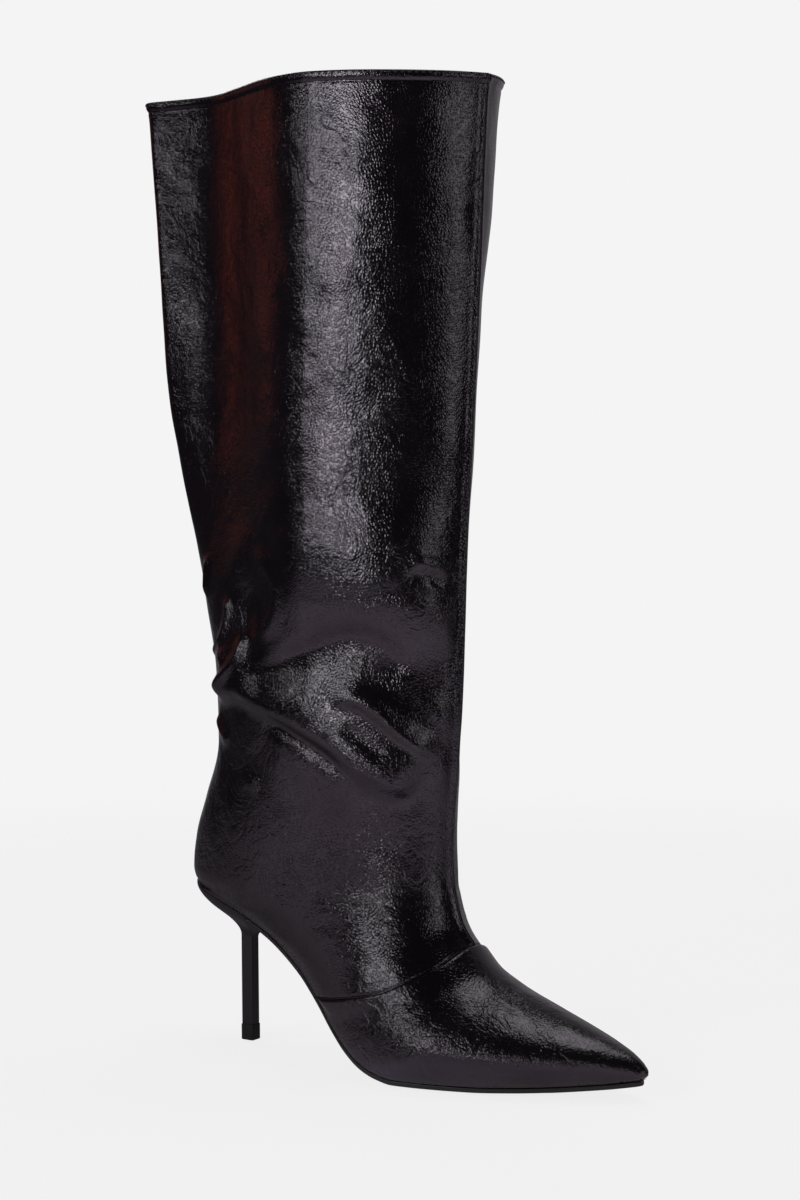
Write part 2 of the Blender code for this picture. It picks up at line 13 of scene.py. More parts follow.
import bpy
import numpy as np
from mathutils import Matrix, Vector

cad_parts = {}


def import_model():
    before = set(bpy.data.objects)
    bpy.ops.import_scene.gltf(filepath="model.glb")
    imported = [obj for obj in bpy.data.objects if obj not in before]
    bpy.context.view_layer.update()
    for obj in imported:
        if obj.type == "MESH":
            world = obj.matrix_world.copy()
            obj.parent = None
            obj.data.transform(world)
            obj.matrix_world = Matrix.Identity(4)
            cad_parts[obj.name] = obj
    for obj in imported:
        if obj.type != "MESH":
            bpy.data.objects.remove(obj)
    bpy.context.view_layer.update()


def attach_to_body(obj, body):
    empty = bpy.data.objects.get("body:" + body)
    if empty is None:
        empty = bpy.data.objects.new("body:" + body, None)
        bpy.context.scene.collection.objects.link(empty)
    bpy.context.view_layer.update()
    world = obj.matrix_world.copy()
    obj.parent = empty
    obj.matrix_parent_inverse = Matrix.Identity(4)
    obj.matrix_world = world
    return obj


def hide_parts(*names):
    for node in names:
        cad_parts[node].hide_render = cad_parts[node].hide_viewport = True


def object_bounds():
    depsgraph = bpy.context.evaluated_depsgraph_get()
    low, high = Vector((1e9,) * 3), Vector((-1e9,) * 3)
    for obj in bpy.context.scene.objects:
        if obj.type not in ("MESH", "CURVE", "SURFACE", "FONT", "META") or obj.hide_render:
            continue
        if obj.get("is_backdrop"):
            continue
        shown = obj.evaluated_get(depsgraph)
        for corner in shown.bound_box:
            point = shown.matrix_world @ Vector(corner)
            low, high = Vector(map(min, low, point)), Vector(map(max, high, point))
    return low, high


LOG = logging.getLogger("boot")
MM = 0.001
TOE_X = 258.8
SHAFT_BACK_X = -24.4
ORIGIN_X = (SHAFT_BACK_X + TOE_X) / 2
Array = np.ndarray
Colour = tuple[float, float, float]


class SoleRow(NamedTuple):
    """Edge of the sole at x: its height and the half widths of its two sides."""

    x: float
    feather: float
    lateral: float
    medial: float


class Section(NamedTuple):
    """A section of the leather, from its front end to its back end."""

    front_x: float
    front_z: float
    back_x: float
    back_z: float
    lateral: float
    medial: float
    wide: float
    outer_nose: float
    inner_nose: float
    rear: float
    pinch: float


SOLE = tuple(map(SoleRow._make, (
    (5.5, 80.2, 0.0, 0.0),
    (6.6, 80.0, 6.4, 6.4),
    (9.5, 79.5, 11.8, 11.8),
    (14.0, 78.6, 16.2, 16.2),
    (21.0, 76.9, 20.4, 20.4),
    (32.0, 73.6, 23.4, 23.4),
    (50.0, 66.6, 24.2, 23.0),
    (67.0, 56.4, 23.4, 19.5),
    (82.0, 43.8, 23.8, 16.4),
    (94.0, 32.6, 27.0, 16.2),
    (106.0, 22.4, 32.4, 18.6),
    (118.0, 14.6, 38.2, 23.4),
    (130.0, 8.6, 42.2, 29.4),
    (140.0, 5.6, 43.5, 33.4),
    (148.0, 4.3, 43.4, 35.2),
    (156.0, 4.3, 42.4, 36.0),
    (168.0, 4.3, 39.8, 36.0),
    (184.0, 4.3, 35.0, 33.2),
    (200.0, 4.8, 28.8, 27.8),
    (216.0, 5.7, 21.6, 21.0),
    (232.0, 7.1, 13.8, 13.4),
    (244.0, 8.4, 7.8, 7.6),
    (251.0, 9.4, 4.4, 4.3),
    (255.0, 10.1, 2.2, 2.2),
    (256.4, 10.4, 0.0, 0.0),
)))
SECTIONS = tuple(map(Section._make, (
    (173.8, 465.5, -24.4, 465.5, 53.0, 53.0, 0.68, 1.48, 2.00, 2.00, 0.94),
    (171.0, 420.0, -21.4, 420.0, 53.0, 51.5, 0.68, 1.48, 1.88, 2.00, 0.93),
    (168.6, 365.0, -16.8, 365.0, 52.0, 47.5, 0.67, 1.48, 1.62, 2.00, 0.88),
    (165.4, 310.0, -10.0, 310.0, 50.0, 45.0, 0.66, 1.48, 1.50, 2.00, 0.76),
    (162.2, 262.0, 1.0, 262.0, 48.0, 43.5, 0.64, 1.50, 1.48, 2.00, 0.50),
    (160.4, 220.0, 12.0, 221.0, 46.0, 42.0, 0.60, 1.52, 1.42, 2.00, 0.22),
    (159.2, 182.0, 20.2, 184.0, 43.0, 40.0, 0.56, 1.56, 1.40, 2.00, 0.05),
    (156.4, 150.0, 22.0, 152.0, 40.0, 39.0, 0.54, 1.65, 1.50, 2.00, 0.0),
    (153.6, 122.0, 12.6, 123.0, 38.0, 39.0, 0.54, 1.80, 1.85, 2.00, 0.0),
    (152.6, 103.0, 4.6, 103.0, 36.5, 37.0, 0.56, 1.90, 2.00, 2.00, 0.0),
    (153.2, 92.0, 2.8, 90.0, 35.6, 34.4, 0.58, 2.00, 2.05, 2.10, 0.0),
    (153.8, 87.0, 3.2, 84.6, 35.2, 33.0, 0.59, 2.05, 2.05, 2.20, 0.0),
    (154.8, 82.8, 5.5, 80.2, 35.0, 32.0, 0.60, 2.10, 2.10, 2.25, 0.0),
    (155.8, 78.6, 20.0, 77.1, 35.0, 31.2, 0.58, 2.10, 2.10, 2.20, 0.0),
    (157.0, 74.4, 44.0, 69.2, 35.0, 30.4, 0.53, 2.10, 2.10, 2.25, 0.0),
    (159.0, 69.6, 67.0, 56.4, 35.4, 29.8, 0.48, 2.05, 2.05, 2.30, 0.0),
    (162.4, 64.6, 88.0, 38.2, 36.4, 30.2, 0.43, 2.00, 2.00, 2.30, 0.0),
    (168.2, 58.6, 106.0, 22.4, 39.0, 31.5, 0.38, 1.95, 1.95, 2.30, 0.0),
    (176.4, 52.2, 124.0, 11.4, 43.4, 34.5, 0.34, 1.85, 1.85, 2.40, 0.0),
    (186.4, 46.2, 144.0, 4.9, 45.8, 38.2, 0.30, 1.80, 1.80, 2.40, 0.0),
    (198.4, 40.8, 164.0, 4.3, 42.6, 38.2, 0.30, 1.75, 1.75, 2.40, 0.0),
    (211.6, 35.8, 186.0, 4.3, 35.8, 33.6, 0.32, 1.75, 1.75, 2.40, 0.0),
    (226.8, 30.4, 208.0, 5.2, 26.6, 25.8, 0.34, 1.80, 1.80, 2.40, 0.0),
    (241.4, 25.0, 228.0, 6.7, 16.8, 16.4, 0.36, 1.90, 1.90, 2.40, 0.0),
    (251.2, 20.4, 242.0, 8.2, 9.8, 9.6, 0.38, 2.00, 2.00, 2.40, 0.0),
    (256.2, 16.8, 250.4, 9.3, 5.6, 5.5, 0.40, 2.00, 2.00, 2.40, 0.0),
    (258.4, 14.0, 255.0, 10.1, 2.7, 2.7, 0.42, 2.00, 2.00, 2.40, 0.0),
    (258.8, 12.6, 256.4, 10.4, 0.4, 0.4, 0.45, 2.00, 2.00, 2.40, 0.0),
)))


def smooth_through(knots: Sequence[float], values: Sequence[float]) -> Callable[[Array], Array]:
    """Makes a smooth curve through values at rising knots.

    Args:
        knots: Positions, rising.
        values: The value at each position.

    Returns:
        A function of position, clamped at both ends.
    """
    at = np.asarray(knots, float)
    val = np.asarray(values, float)
    steps = np.diff(at)
    slopes = np.diff(val) / steps
    tangents = np.empty_like(val)
    tangents[0], tangents[-1] = slopes[0], slopes[-1]
    before, after = steps[:-1], steps[1:]
    tangents[1:-1] = (slopes[:-1] * after + slopes[1:] * before) / (before + after)
    tangents[1:-1][slopes[:-1] * slopes[1:] <= 0] = 0.0

    def value_at(position: Array) -> Array:
        position = np.clip(position, at[0], at[-1])
        i = np.clip(np.searchsorted(at, position, side="right") - 1, 0, len(steps) - 1)
        t = (position - at[i]) / steps[i]
        t2, t3 = t * t, t * t * t
        return (
            (2 * t3 - 3 * t2 + 1) * val[i]
            + (t3 - 2 * t2 + t) * steps[i] * tangents[i]
            + (3 * t2 - 2 * t3) * val[i + 1]
            + (t3 - t2) * steps[i] * tangents[i + 1]
        )

    return value_at


def ease(t: Array) -> Array:
    """0 to 1 with level ends."""
    t = np.clip(t, 0.0, 1.0)
    return t * t * (3 - 2 * t)


def unit(vectors: Array) -> Array:
    """Vectors along the last axis, scaled to length 1."""
    return vectors / np.maximum(np.linalg.norm(vectors, axis=-1, keepdims=True), 1e-9)


class SoleLine:
    """The sole's edge as functions of x."""

    def __init__(self) -> None:
        """Fits the curves through the table."""
        x, feather, lateral, medial = np.array(SOLE).T
        self.first, self.last = SOLE[0].x, SOLE[-1].x
        self.feather = smooth_through(x, feather)
        self._lateral = smooth_through(self._rounded(x), lateral)
        self._medial = smooth_through(self._rounded(x), medial)

    def _rounded(self, x: Array) -> Array:
        """x stretched at heel and toe so that the round ends interpolate well."""
        reach = 14.0
        heel = np.sqrt(np.clip((x - self.first) / reach, 0.0, 1.0))
        toe = np.sqrt(np.clip((self.last - x) / reach, 0.0, 1.0))
        return x + reach * (heel - toe)

    def half_width(self, x: Array, outer: bool) -> Array:
        """Half width of one side of the sole at x, 0 beyond its ends."""
        x = np.asarray(x, float)
        curve = self._lateral if outer else self._medial
        inside = (x > self.first) & (x < self.last)
        return np.where(inside, np.maximum(curve(self._rounded(x)), 0.0), 0.0)

    def outline(self, x: Array, outer: bool, inset: float) -> tuple[Array, Array]:
        """The outline at x moved inwards.

        Args:
            x: Positions along the sole.
            outer: The lateral side rather than the medial one.
            inset: Distance inwards, across the outline.

        Returns:
            The moved x and half width.
        """
        x = np.asarray(x, float)
        low, high = np.maximum(x - 0.05, self.first), np.minimum(x + 0.05, self.last)
        rise = (self.half_width(high, outer) - self.half_width(low, outer)) / (high - low)
        length = np.hypot(1.0, rise)
        return x + inset * rise / length, self.half_width(x, outer) - inset / length

    def height(self, x: Array, above: float) -> Array:
        """Height of the surface parallel to the edge line, above it by a distance."""
        rise = self.feather(x + 0.5) - self.feather(x - 0.5)
        return self.feather(x) + above * np.hypot(1.0, rise)


class Leather:
    """The upper's outer surface as a function of two coordinates.

    down runs from the collar (0) to the toe (length), turn from the outer lower edge or back (1) over
    the front (0) to the inner lower edge or back (-1).
    """

    SAMPLES = 260
    TAIL_RADIUS = 5.0

    def __init__(self, sole: SoleLine) -> None:
        """Fits curves through the sections.

        Args:
            sole: The line that the lower edge follows.
        """
        self.sole = sole
        place = [0.0]
        for a, b in zip(SECTIONS, SECTIONS[1:]):
            front = math.hypot(b.front_x - a.front_x, b.front_z - a.front_z)
            back = math.hypot(b.back_x - a.back_x, b.back_z - a.back_z)
            place.append(place[-1] + (front + back) / 2)
        self.length = place[-1]
        self.first_open = place[[row.back_x == SOLE[0].x for row in SECTIONS].index(True)]
        columns = zip(Section._fields, zip(*SECTIONS))
        self._curves = {name: smooth_through(place, values) for name, values in columns}

    def sections(self, down: Array) -> dict[str, Array]:
        """Section sizes at positions down the leather, each as a column."""
        row = {name: curve(down)[:, None] for name, curve in self._curves.items()}
        on_sole = down[:, None] >= self.first_open
        row["back_z"] = np.where(on_sole, self.sole.feather(row["back_x"]), row["back_z"])
        row["on_sole"] = on_sole
        return row

    def _side(self, row: dict[str, Array], outer: bool) -> tuple[Array, Array, Array]:
        """One side of each section: share of its depth, distance from the centre line, and run."""
        half = row["lateral"] if outer else row["medial"]
        nose = row["outer_nose"] if outer else row["inner_nose"]
        floor = np.where(row["on_sole"], self.sole.half_width(row["back_x"], outer), 0.0)
        sigma = np.linspace(0.0, 1.0, self.SAMPLES)[None, :]
        floor_share = np.minimum(floor / half, 0.999)
        cut = (1 - floor_share ** row["rear"]) ** (1 / row["rear"])
        rear = cut * (1 - sigma**2)
        front = 1 - (1 - sigma[:, 1:]) ** 2
        front = np.broadcast_to(front, (len(half), front.shape[1]))
        wide = row["wide"]
        share = np.concatenate([wide * (1 - rear / cut), wide + (1 - wide) * front], axis=1)
        rear_y = np.clip(1 - rear ** row["rear"], 0, 1) ** (1 / row["rear"])
        front_y = np.clip(1 - front**nose, 0, 1) ** (1 / nose)
        y = half * np.concatenate([rear_y, front_y], axis=1)
        length = np.hypot(row["front_x"] - row["back_x"], row["front_z"] - row["back_z"])
        pinched = y * (1 - row["pinch"] * (1 - ease((share - 0.1) / (wide - 0.1))))
        cap = 1 - np.clip(share * length / self.TAIL_RADIUS, 0, 1)
        tail = self.TAIL_RADIUS * np.sqrt(1 - cap**2) * (share < wide) * ease(row["pinch"] * 4)
        y = np.where(row["pinch"] > 0, (pinched**3 + tail**3) ** (1 / 3), y)
        steps = np.hypot(np.diff(share, axis=1) * length, np.diff(y, axis=1))
        run = np.concatenate([np.zeros((len(half), 1)), np.cumsum(steps, axis=1)], axis=1)
        return share, y, run

    def side_lengths(self, down: Array) -> tuple[Array, Array]:
        """Length of the outer and the inner side of the sections at positions down the leather."""
        row = self.sections(down)
        return self._side(row, True)[2][:, -1], self._side(row, False)[2][:, -1]

    def points(self, down: Array, turn: Array) -> Array:
        """Points of the surface.

        Args:
            down: Positions from collar to toe, in any shape.
            turn: Positions round the leather, in the same shape.

        Returns:
            Points in millimetres, with one more axis.
        """
        shape = np.shape(down)
        down, turn = np.ravel(down), np.ravel(turn)
        result = np.zeros((down.size, 3))
        for start in range(0, down.size, 4000):
            part = slice(start, start + 4000)
            row = self.sections(down[part])
            for outer in (True, False):
                chosen = (turn[part] >= 0) if outer else (turn[part] < 0)
                if not chosen.any():
                    continue
                picked = {name: value[chosen] for name, value in row.items()}
                share, y, run = self._side(picked, outer)
                target = (1 - np.abs(turn[part][chosen])) * run[:, -1]
                i = np.clip((run < target[:, None]).sum(axis=1), 1, run.shape[1] - 1)
                lines = np.arange(len(i))
                t = (target - run[lines, i - 1]) / np.maximum(run[lines, i] - run[lines, i - 1], 1e-9)
                s = share[lines, i - 1] * (1 - t) + share[lines, i] * t
                side = y[lines, i - 1] * (1 - t) + y[lines, i] * t
                x = picked["back_x"][:, 0] + s * (picked["front_x"] - picked["back_x"])[:, 0]
                z = picked["back_z"][:, 0] + s * (picked["front_z"] - picked["back_z"])[:, 0]
                result[np.flatnonzero(chosen) + start] = np.stack([x, -side if outer else side, z], axis=1)
        return result.reshape(*shape, 3)

    def down_of_sole_x(self, x: float) -> float:
        """The position down the leather whose section stands on the sole at x."""
        low, high = self.first_open, self.length
        for _ in range(40):
            middle = (low + high) / 2
            if float(self._curves["back_x"](middle)) < x:
                low = middle
            else:
                high = middle
        return (low + high) / 2


class SeamRow(NamedTuple):
    """Where the vamp seam lies at a place round the leather: the sole's x under its section."""

    turn: float
    sole_x: float


SEAM_HALF = ((0.0, 97.6), (0.24, 104.4), (0.5, 105.2), (0.76, 99.0), (1.0, 93.0))
VAMP_SEAM = tuple(SeamRow(-turn, x) for turn, x in SEAM_HALF[:0:-1]) + tuple(map(SeamRow._make, SEAM_HALF))


@dataclass(frozen=True)
class Fold:
    """A soft ridge, or a trough where its height is under 0, along a line on the leather.

    The line's points are (round, down) in millimetres: round from the front seam with the outer side
    positive, and down from the collar. It runs from the back to the front, or downwards. above is its
    width on the collar's side, or towards the front where it runs down, and below the other side's.
    """

    line: tuple[tuple[float, float], ...]
    height: float
    above: float
    below: float
    fade: float = 14.0
    power: float = 2.0

    def lift(self, round_mm: Array, down_mm: Array) -> Array:
        """How far it moves each point of the leather outwards.

        Args:
            round_mm: Distance from the front seam of each point.
            down_mm: Distance from the collar of each point.

        Returns:
            Distances in millimetres.
        """
        knots = np.array(self.line, float)
        run = np.concatenate([[0.0], np.cumsum(np.linalg.norm(np.diff(knots, axis=0), axis=1))])
        dense = np.linspace(0.0, run[-1], max(int(run[-1] / 1.5), 8))
        path = np.stack([smooth_through(run, axis)(dense) for axis in knots.T], axis=1)
        reach = 3.2 * max(self.above, self.below)
        places = np.stack([round_mm, down_mm], axis=-1)
        low, high = path.min(axis=0) - reach, path.max(axis=0) + reach
        near = ((places > low) & (places < high)).all(axis=-1)
        result = np.zeros(round_mm.shape)
        points = places[near]
        if not len(points):
            return result
        parts = np.array_split(points, max(len(points) // 4000, 1))
        gaps = (((part[:, None, :] - path[None]) ** 2).sum(axis=2) for part in parts)
        nearest = np.concatenate([gap.argmin(axis=1) for gap in gaps])
        tangent = unit(np.gradient(path, axis=0))[nearest]
        offset = points - path[nearest]
        along = (offset * tangent).sum(axis=1)
        beyond = np.where((nearest == 0) | (nearest == len(path) - 1), along, 0.0)
        side = tangent[:, 0] * offset[:, 1] - tangent[:, 1] * offset[:, 0]
        width = np.where(side > 0, self.above, self.below)
        distance = np.hypot(side, beyond)
        place = dense[nearest] + along
        ends = ease(place / self.fade) * ease((run[-1] - place) / self.fade)
        result[near] = self.height * ends * np.exp(-((distance / width) ** self.power))
        return result


@dataclass(frozen=True)
class Swell:
    """A round hollow or bulge of the leather, at (round, down) in millimetres."""

    round_mm: float
    down_mm: float
    height: float
    across: float
    along: float
    turned: float = 0.0

    def lift(self, round_mm: Array, down_mm: Array) -> Array:
        """How far it moves each point of the leather outwards, as in Fold.lift."""
        angle = math.radians(self.turned)
        a, b = round_mm - self.round_mm, down_mm - self.down_mm
        u = (a * math.cos(angle) + b * math.sin(angle)) / self.across
        v = (b * math.cos(angle) - a * math.sin(angle)) / self.along
        return self.height * np.exp(-(u**2) - v**2)


FOLDS = (
    # the rolled fold that runs from the back over the ankle to the front seam
    Fold(
        (
            (150, 291), (137, 290), (122, 289), (108, 292), (94, 296),
            (82, 300), (64, 309), (50, 319), (35, 327), (18, 333),
        ),
        5.0, 19.0, 5.6,
    ),
    Swell(6, 323, 2.0, 17.0, 12.0, -20.0),
    Fold(((58, 301), (50, 305), (42, 311), (34, 317)), -0.9, 3.0, 4.0, 8.0),
    # the valley above it, under an arched fold
    Fold(
        ((118, 288), (106, 281), (90, 274), (71, 266), (55, 261), (43, 263), (35, 271), (28, 282)),
        -2.4, 6.0, 13.0,
    ),
    Fold(
        ((146, 276), (130, 267), (111, 257), (91, 248), (71, 244), (49, 243), (30, 246), (14, 255), (6, 268)),
        1.3, 12.0, 12.0,
    ),
    Swell(22, 251, 1.8, 20.0, 17.0),
    # the shorter fold near the front seam
    Fold(((64, 291), (53, 289), (41, 295), (33, 302), (22, 310), (8, 317)), 2.7, 7.0, 3.2),
    Swell(8, 297, 1.2, 15.0, 10.0, -20.0),
    # the foot of the rolled fold
    Fold(((104, 302), (92, 303), (78, 308), (62, 317), (50, 326)), -1.6, 3.5, 4.0),
    Fold(((100, 311), (88, 312), (70, 321), (52, 331), (38, 337)), 1.7, 7.0, 13.0),
    # the flat trough across the calf and the ridge over it
    Fold(((88, 236), (76, 238), (60, 239), (44, 239), (28, 239), (14, 242), (4, 245)), -0.34, 4.5, 4.5, 24.0),
    Fold(((104, 230), (76, 225), (50, 223), (24, 225), (2, 229)), 3.2, 24.0, 21.0, 26.0),
    # the hollow behind, a bulge over it, and puckers along the back
    Swell(122, 252, -4.0, 13.0, 22.0, 20.0),
    Swell(132, 226, 2.6, 13.0, 15.0, 10.0),
    Fold(((120, 222), (102, 230), (96, 241), (100, 253), (116, 266)), 1.6, 6.0, 5.0),
    Fold(((143, 244), (139, 253), (140, 262), (146, 271)), 2.0, 2.5, 3.4, 6.0, 1.6),
    Fold(((123, 260), (123, 271), (128, 279), (138, 287), (147, 292)), 2.6, 3.8, 3.2, 7.0, 1.6),
    Fold(((160, 272), (146, 273), (131, 276)), 1.6, 3.0, 3.0, 6.0),
    Fold(((166, 224), (167, 236), (168, 248)), 1.8, 3.0, 3.0, 7.0),
    Fold(((150, 304), (141, 310), (130, 317)), 1.8, 3.0, 4.0, 6.0),
    Fold(((120, 330), (110, 333), (100, 335)), 0.7, 3.0, 5.0, 8.0),
    # slack near the front seam
    Fold(((30, 222), (20, 226), (8, 229)), 1.2, 4.0, 3.0, 8.0),
    Fold(((34, 234), (22, 231), (10, 236)), -1.0, 3.0, 3.0, 8.0),
    # the inner side, which follows the outer one more simply
    Fold(((-20, 236), (-40, 240), (-60, 244), (-84, 250)), -2.4, 6.0, 7.0, 18.0),
    Fold(((-12, 262), (-34, 256), (-58, 262), (-88, 272)), 2.8, 10.0, 8.0, 18.0),
    Fold(((-16, 300), (-40, 296), (-66, 300), (-94, 292)), 3.0, 12.0, 5.0, 18.0),
    Fold(((-30, 318), (-54, 316), (-80, 308)), 1.8, 8.0, 6.0, 14.0),
)


class Relief:
    """Everything that moves the leather off its smooth form.

    The two profiles are (distance, lift) across the front seam and down from the collar's edge. A wave
    is (length, size, how many), and they fade below the calf.
    """

    SEAM_PROFILE = (
        (-4.4, 0.0), (-3.2, 0.2), (-2.5, 0.5), (-2.1, 0.55), (-1.8, 0.35), (-1.55, -0.2),
        (-1.3, -0.8), (-0.9, -1.15), (-0.5, -1.0), (-0.25, -0.2), (0.0, 0.75), (0.3, 1.2),
        (0.7, 1.25), (1.3, 0.95), (2.1, 0.5), (3.0, 0.15), (4.0, 0.0),
    )
    HEM_PROFILE = (
        (0.0, -0.2), (0.6, 0.0), (1.2, -0.05), (1.75, 0.1), (2.4, 0.3),
        (3.4, 0.3), (4.3, -0.05), (4.8, -0.35), (5.4, -0.15), (6.4, 0.0),
    )
    WAVES = ((95.0, 0.42, 9), (48.0, 0.17, 14), (21.0, 0.07, 22))
    WAVE_SEED = 11
    CALM_BELOW = 400.0
    FLARE = 1.8
    FLARE_REACH = 4.5

    def lift(self, points: Array, round_mm: Array, down_mm: Array) -> Array:
        """How far each point of the leather moves outwards.

        Args:
            points: The smooth surface.
            round_mm: Distance from the front seam of each point.
            down_mm: Distance from the collar of each point.

        Returns:
            Distances in millimetres.
        """
        lift = sum((fold.lift(round_mm, down_mm) for fold in FOLDS), np.zeros(round_mm.shape))
        lift += self.waves(points, down_mm)
        lift *= 0.25 + 0.75 * ease((np.abs(round_mm) - 2.0) / 9.0)  # the front seam stiffens it
        lift += self.FLARE * np.exp(-((down_mm / self.FLARE_REACH) ** 1.3))
        lift += np.interp(down_mm, *zip(*self.HEM_PROFILE))
        lift += np.interp(round_mm, *zip(*self.SEAM_PROFILE))
        return lift

    @classmethod
    def waves(cls, points: Array, down_mm: Array) -> Array:
        """The slack leather's gentle unevenness, as a sum of waves in random directions."""
        chance = np.random.default_rng(cls.WAVE_SEED)
        total = np.zeros(points.shape[:-1])
        for length, size, count in cls.WAVES:
            ways = unit(chance.normal(size=(count, 3))) * 2 * math.pi
            ways = ways / (length * chance.uniform(0.75, 1.3, (count, 1)))
            starts = chance.uniform(0, 2 * math.pi, count)
            for way, start in zip(ways, starts):
                total += size * math.sqrt(2 / count) * np.sin(points @ way + start)
        return total * (1 - 0.6 * ease((down_mm - cls.CALM_BELOW) / 60))


class Mesher:
    """Collects points and faces for one mesh."""

    def __init__(self) -> None:
        """Starts empty."""
        self.points: list[Array] = []
        self.faces: list[tuple[int, ...]] = []
        self.count = 0

    def add(self, grid: Array, ring_rows: int = 0) -> Array:
        """Adds a grid of points.

        Args:
            grid: Points by row and column.
            ring_rows: How many of the first rows are rings, whose last point is their first.

        Returns:
            The index of each point.
        """
        rows, columns = grid.shape[:2]
        keep = np.ones((rows, columns), bool)
        keep[:ring_rows, -1] = False
        index = np.full((rows, columns), -1)
        index[keep] = np.arange(keep.sum()) + self.count
        index[:ring_rows, -1] = index[:ring_rows, 0]
        self.points.append(grid[keep])
        self.count += int(keep.sum())
        return index

    def quads(self, index: Array, flip: bool = False) -> None:
        """Adds the faces of a grid of point indices."""
        a, b, c, d = index[:-1, :-1], index[:-1, 1:], index[1:, 1:], index[1:, :-1]
        corners = (a, b, c, d) if flip else (a, d, c, b)
        self.faces.extend(map(tuple, np.stack([k.ravel() for k in corners], axis=1).tolist()))

    def face(self, corners: Iterable[int], flip: bool = False) -> None:
        """Adds one face, with each of its corners once; fewer than three make none."""
        face = tuple(dict.fromkeys(int(corner) for corner in corners))
        if len(face) > 2:
            self.faces.append(face[::-1] if flip else face)

    def tube(self, rings: Array, capped: bool = True) -> Array:
        """Adds rings of points, closed round and joined along, and perhaps their last end's cap."""
        index = self.add(np.concatenate([rings, rings[:, :1]], axis=1), len(rings))
        self.quads(index, flip=True)
        self.face(index[0][:-1])
        if capped:
            self.face(index[-1][:-1], flip=True)
        return index

    def skirt(self, first: Array, second: Array) -> None:
        """Joins the lower edges, which are the two end columns, of an outer and an inner grid."""
        for column, flip in ((0, False), (-1, True)):
            self.zip(first[:, column], second[:, column], flip)

    def zip(self, first: Sequence[int], second: Sequence[int], flip: bool = False) -> None:
        """Joins two rows of point indices that may differ in number, with triangles."""
        i = j = 0
        while i < len(first) - 1 or j < len(second) - 1:
            ahead = (i + 1) / (len(first) - 1) if i < len(first) - 1 else 9.0
            other = (j + 1) / (len(second) - 1) if j < len(second) - 1 else 9.0
            if ahead <= other:
                face, i = (int(first[i]), int(first[i + 1]), int(second[j])), i + 1
            else:
                face, j = (int(first[i]), int(second[j + 1]), int(second[j])), j + 1
            self.faces.append(face[::-1] if flip else face)

    def build(self, name: str, material: bpy.types.Material) -> bpy.types.Object:
        """Makes the object.

        Args:
            name: The piece's name.
            material: Its finish.

        Returns:
            The object, with its points in the frame.
        """
        points = (np.concatenate(self.points) - (ORIGIN_X, 0.0, 0.0)) * MM
        mesh = bpy.data.meshes.new(name)
        mesh.from_pydata(points.tolist(), [], self.faces)
        mesh.validate()
        mesh.materials.append(material)
        mesh.shade_smooth()
        obj = bpy.data.objects.new(name, mesh)
        bpy.context.scene.collection.objects.link(obj)
        LOG.info("%s: %d faces", name, len(self.faces))
        return obj


class Signal:
    """A node's output that Python's operators work on, each adding one Math node."""

    def __init__(self, maker: "TreeMaker", socket: bpy.types.NodeSocket) -> None:
        """Wraps a socket of the maker's tree."""
        self.maker = maker
        self.socket = socket

    def _math(self, operation: str, *values: "Signal | float") -> "Signal":
        """One Math node on the values."""
        return self.maker.node("ShaderNodeMath", {"operation": operation}, dict(enumerate(values)))

    def __add__(self, other: "Signal | float") -> "Signal":
        """The sum."""
        return self._math("ADD", self, other)

    __radd__ = __add__

    def __sub__(self, other: "Signal | float") -> "Signal":
        """The difference."""
        return self._math("SUBTRACT", self, other)

    def __rsub__(self, other: "Signal | float") -> "Signal":
        """The difference, the other way round."""
        return self._math("SUBTRACT", other, self)

    def __mul__(self, other: "Signal | float") -> "Signal":
        """The product."""
        return self._math("MULTIPLY", self, other)

    __rmul__ = __mul__

    def __abs__(self) -> "Signal":
        """The size without the sign."""
        return self._math("ABSOLUTE", self)

    def between(self, low: float, high: float, first: float = 0.0, last: float = 1.0) -> "Signal":
        """first below low and last above high, smooth in between."""
        inputs = {"Value": self, "From Min": low, "From Max": high, "To Min": first, "To Max": last}
        return self.maker.node("ShaderNodeMapRange", {"interpolation_type": "SMOOTHSTEP"}, inputs)


Value = Signal | float | tuple[float, ...]


class TreeMaker:
    """Adds nodes to one tree."""

    def __init__(self, tree: bpy.types.NodeTree) -> None:
        """Works on a tree."""
        self.tree = tree

    def node(
        self, kind: str, settings: dict[str, object], inputs: dict[str | int, Value], output: str | int = 0
    ) -> Signal:
        """Adds a node.

        Args:
            kind: The node's type.
            settings: Its own settings, set first.
            inputs: A value or a signal for each socket.
            output: The socket to return.

        Returns:
            The output as a signal.
        """
        node = self.tree.nodes.new(kind)
        for name, value in settings.items():
            setattr(node, name, value)
        for name, value in inputs.items():
            self.feed(node.inputs[name], value)
        return Signal(self, node.outputs[output])

    def feed(self, socket: bpy.types.NodeSocket, value: Value) -> None:
        """Links a signal to a socket, or sets its value."""
        if isinstance(value, Signal):
            self.tree.links.new(value.socket, socket)
        else:
            socket.default_value = value

    def along(self, place: Signal, way: tuple[float, float, float]) -> Signal:
        """How far places lie along a way."""
        return self.node("ShaderNodeVectorMath", {"operation": "DOT_PRODUCT"}, {0: place, 1: way}, "Value")

    def show(self, output: str, shader: Signal) -> None:
        """Makes a shader the one that an output node shows."""
        self.feed(self.tree.nodes[output].inputs["Surface"], shader)


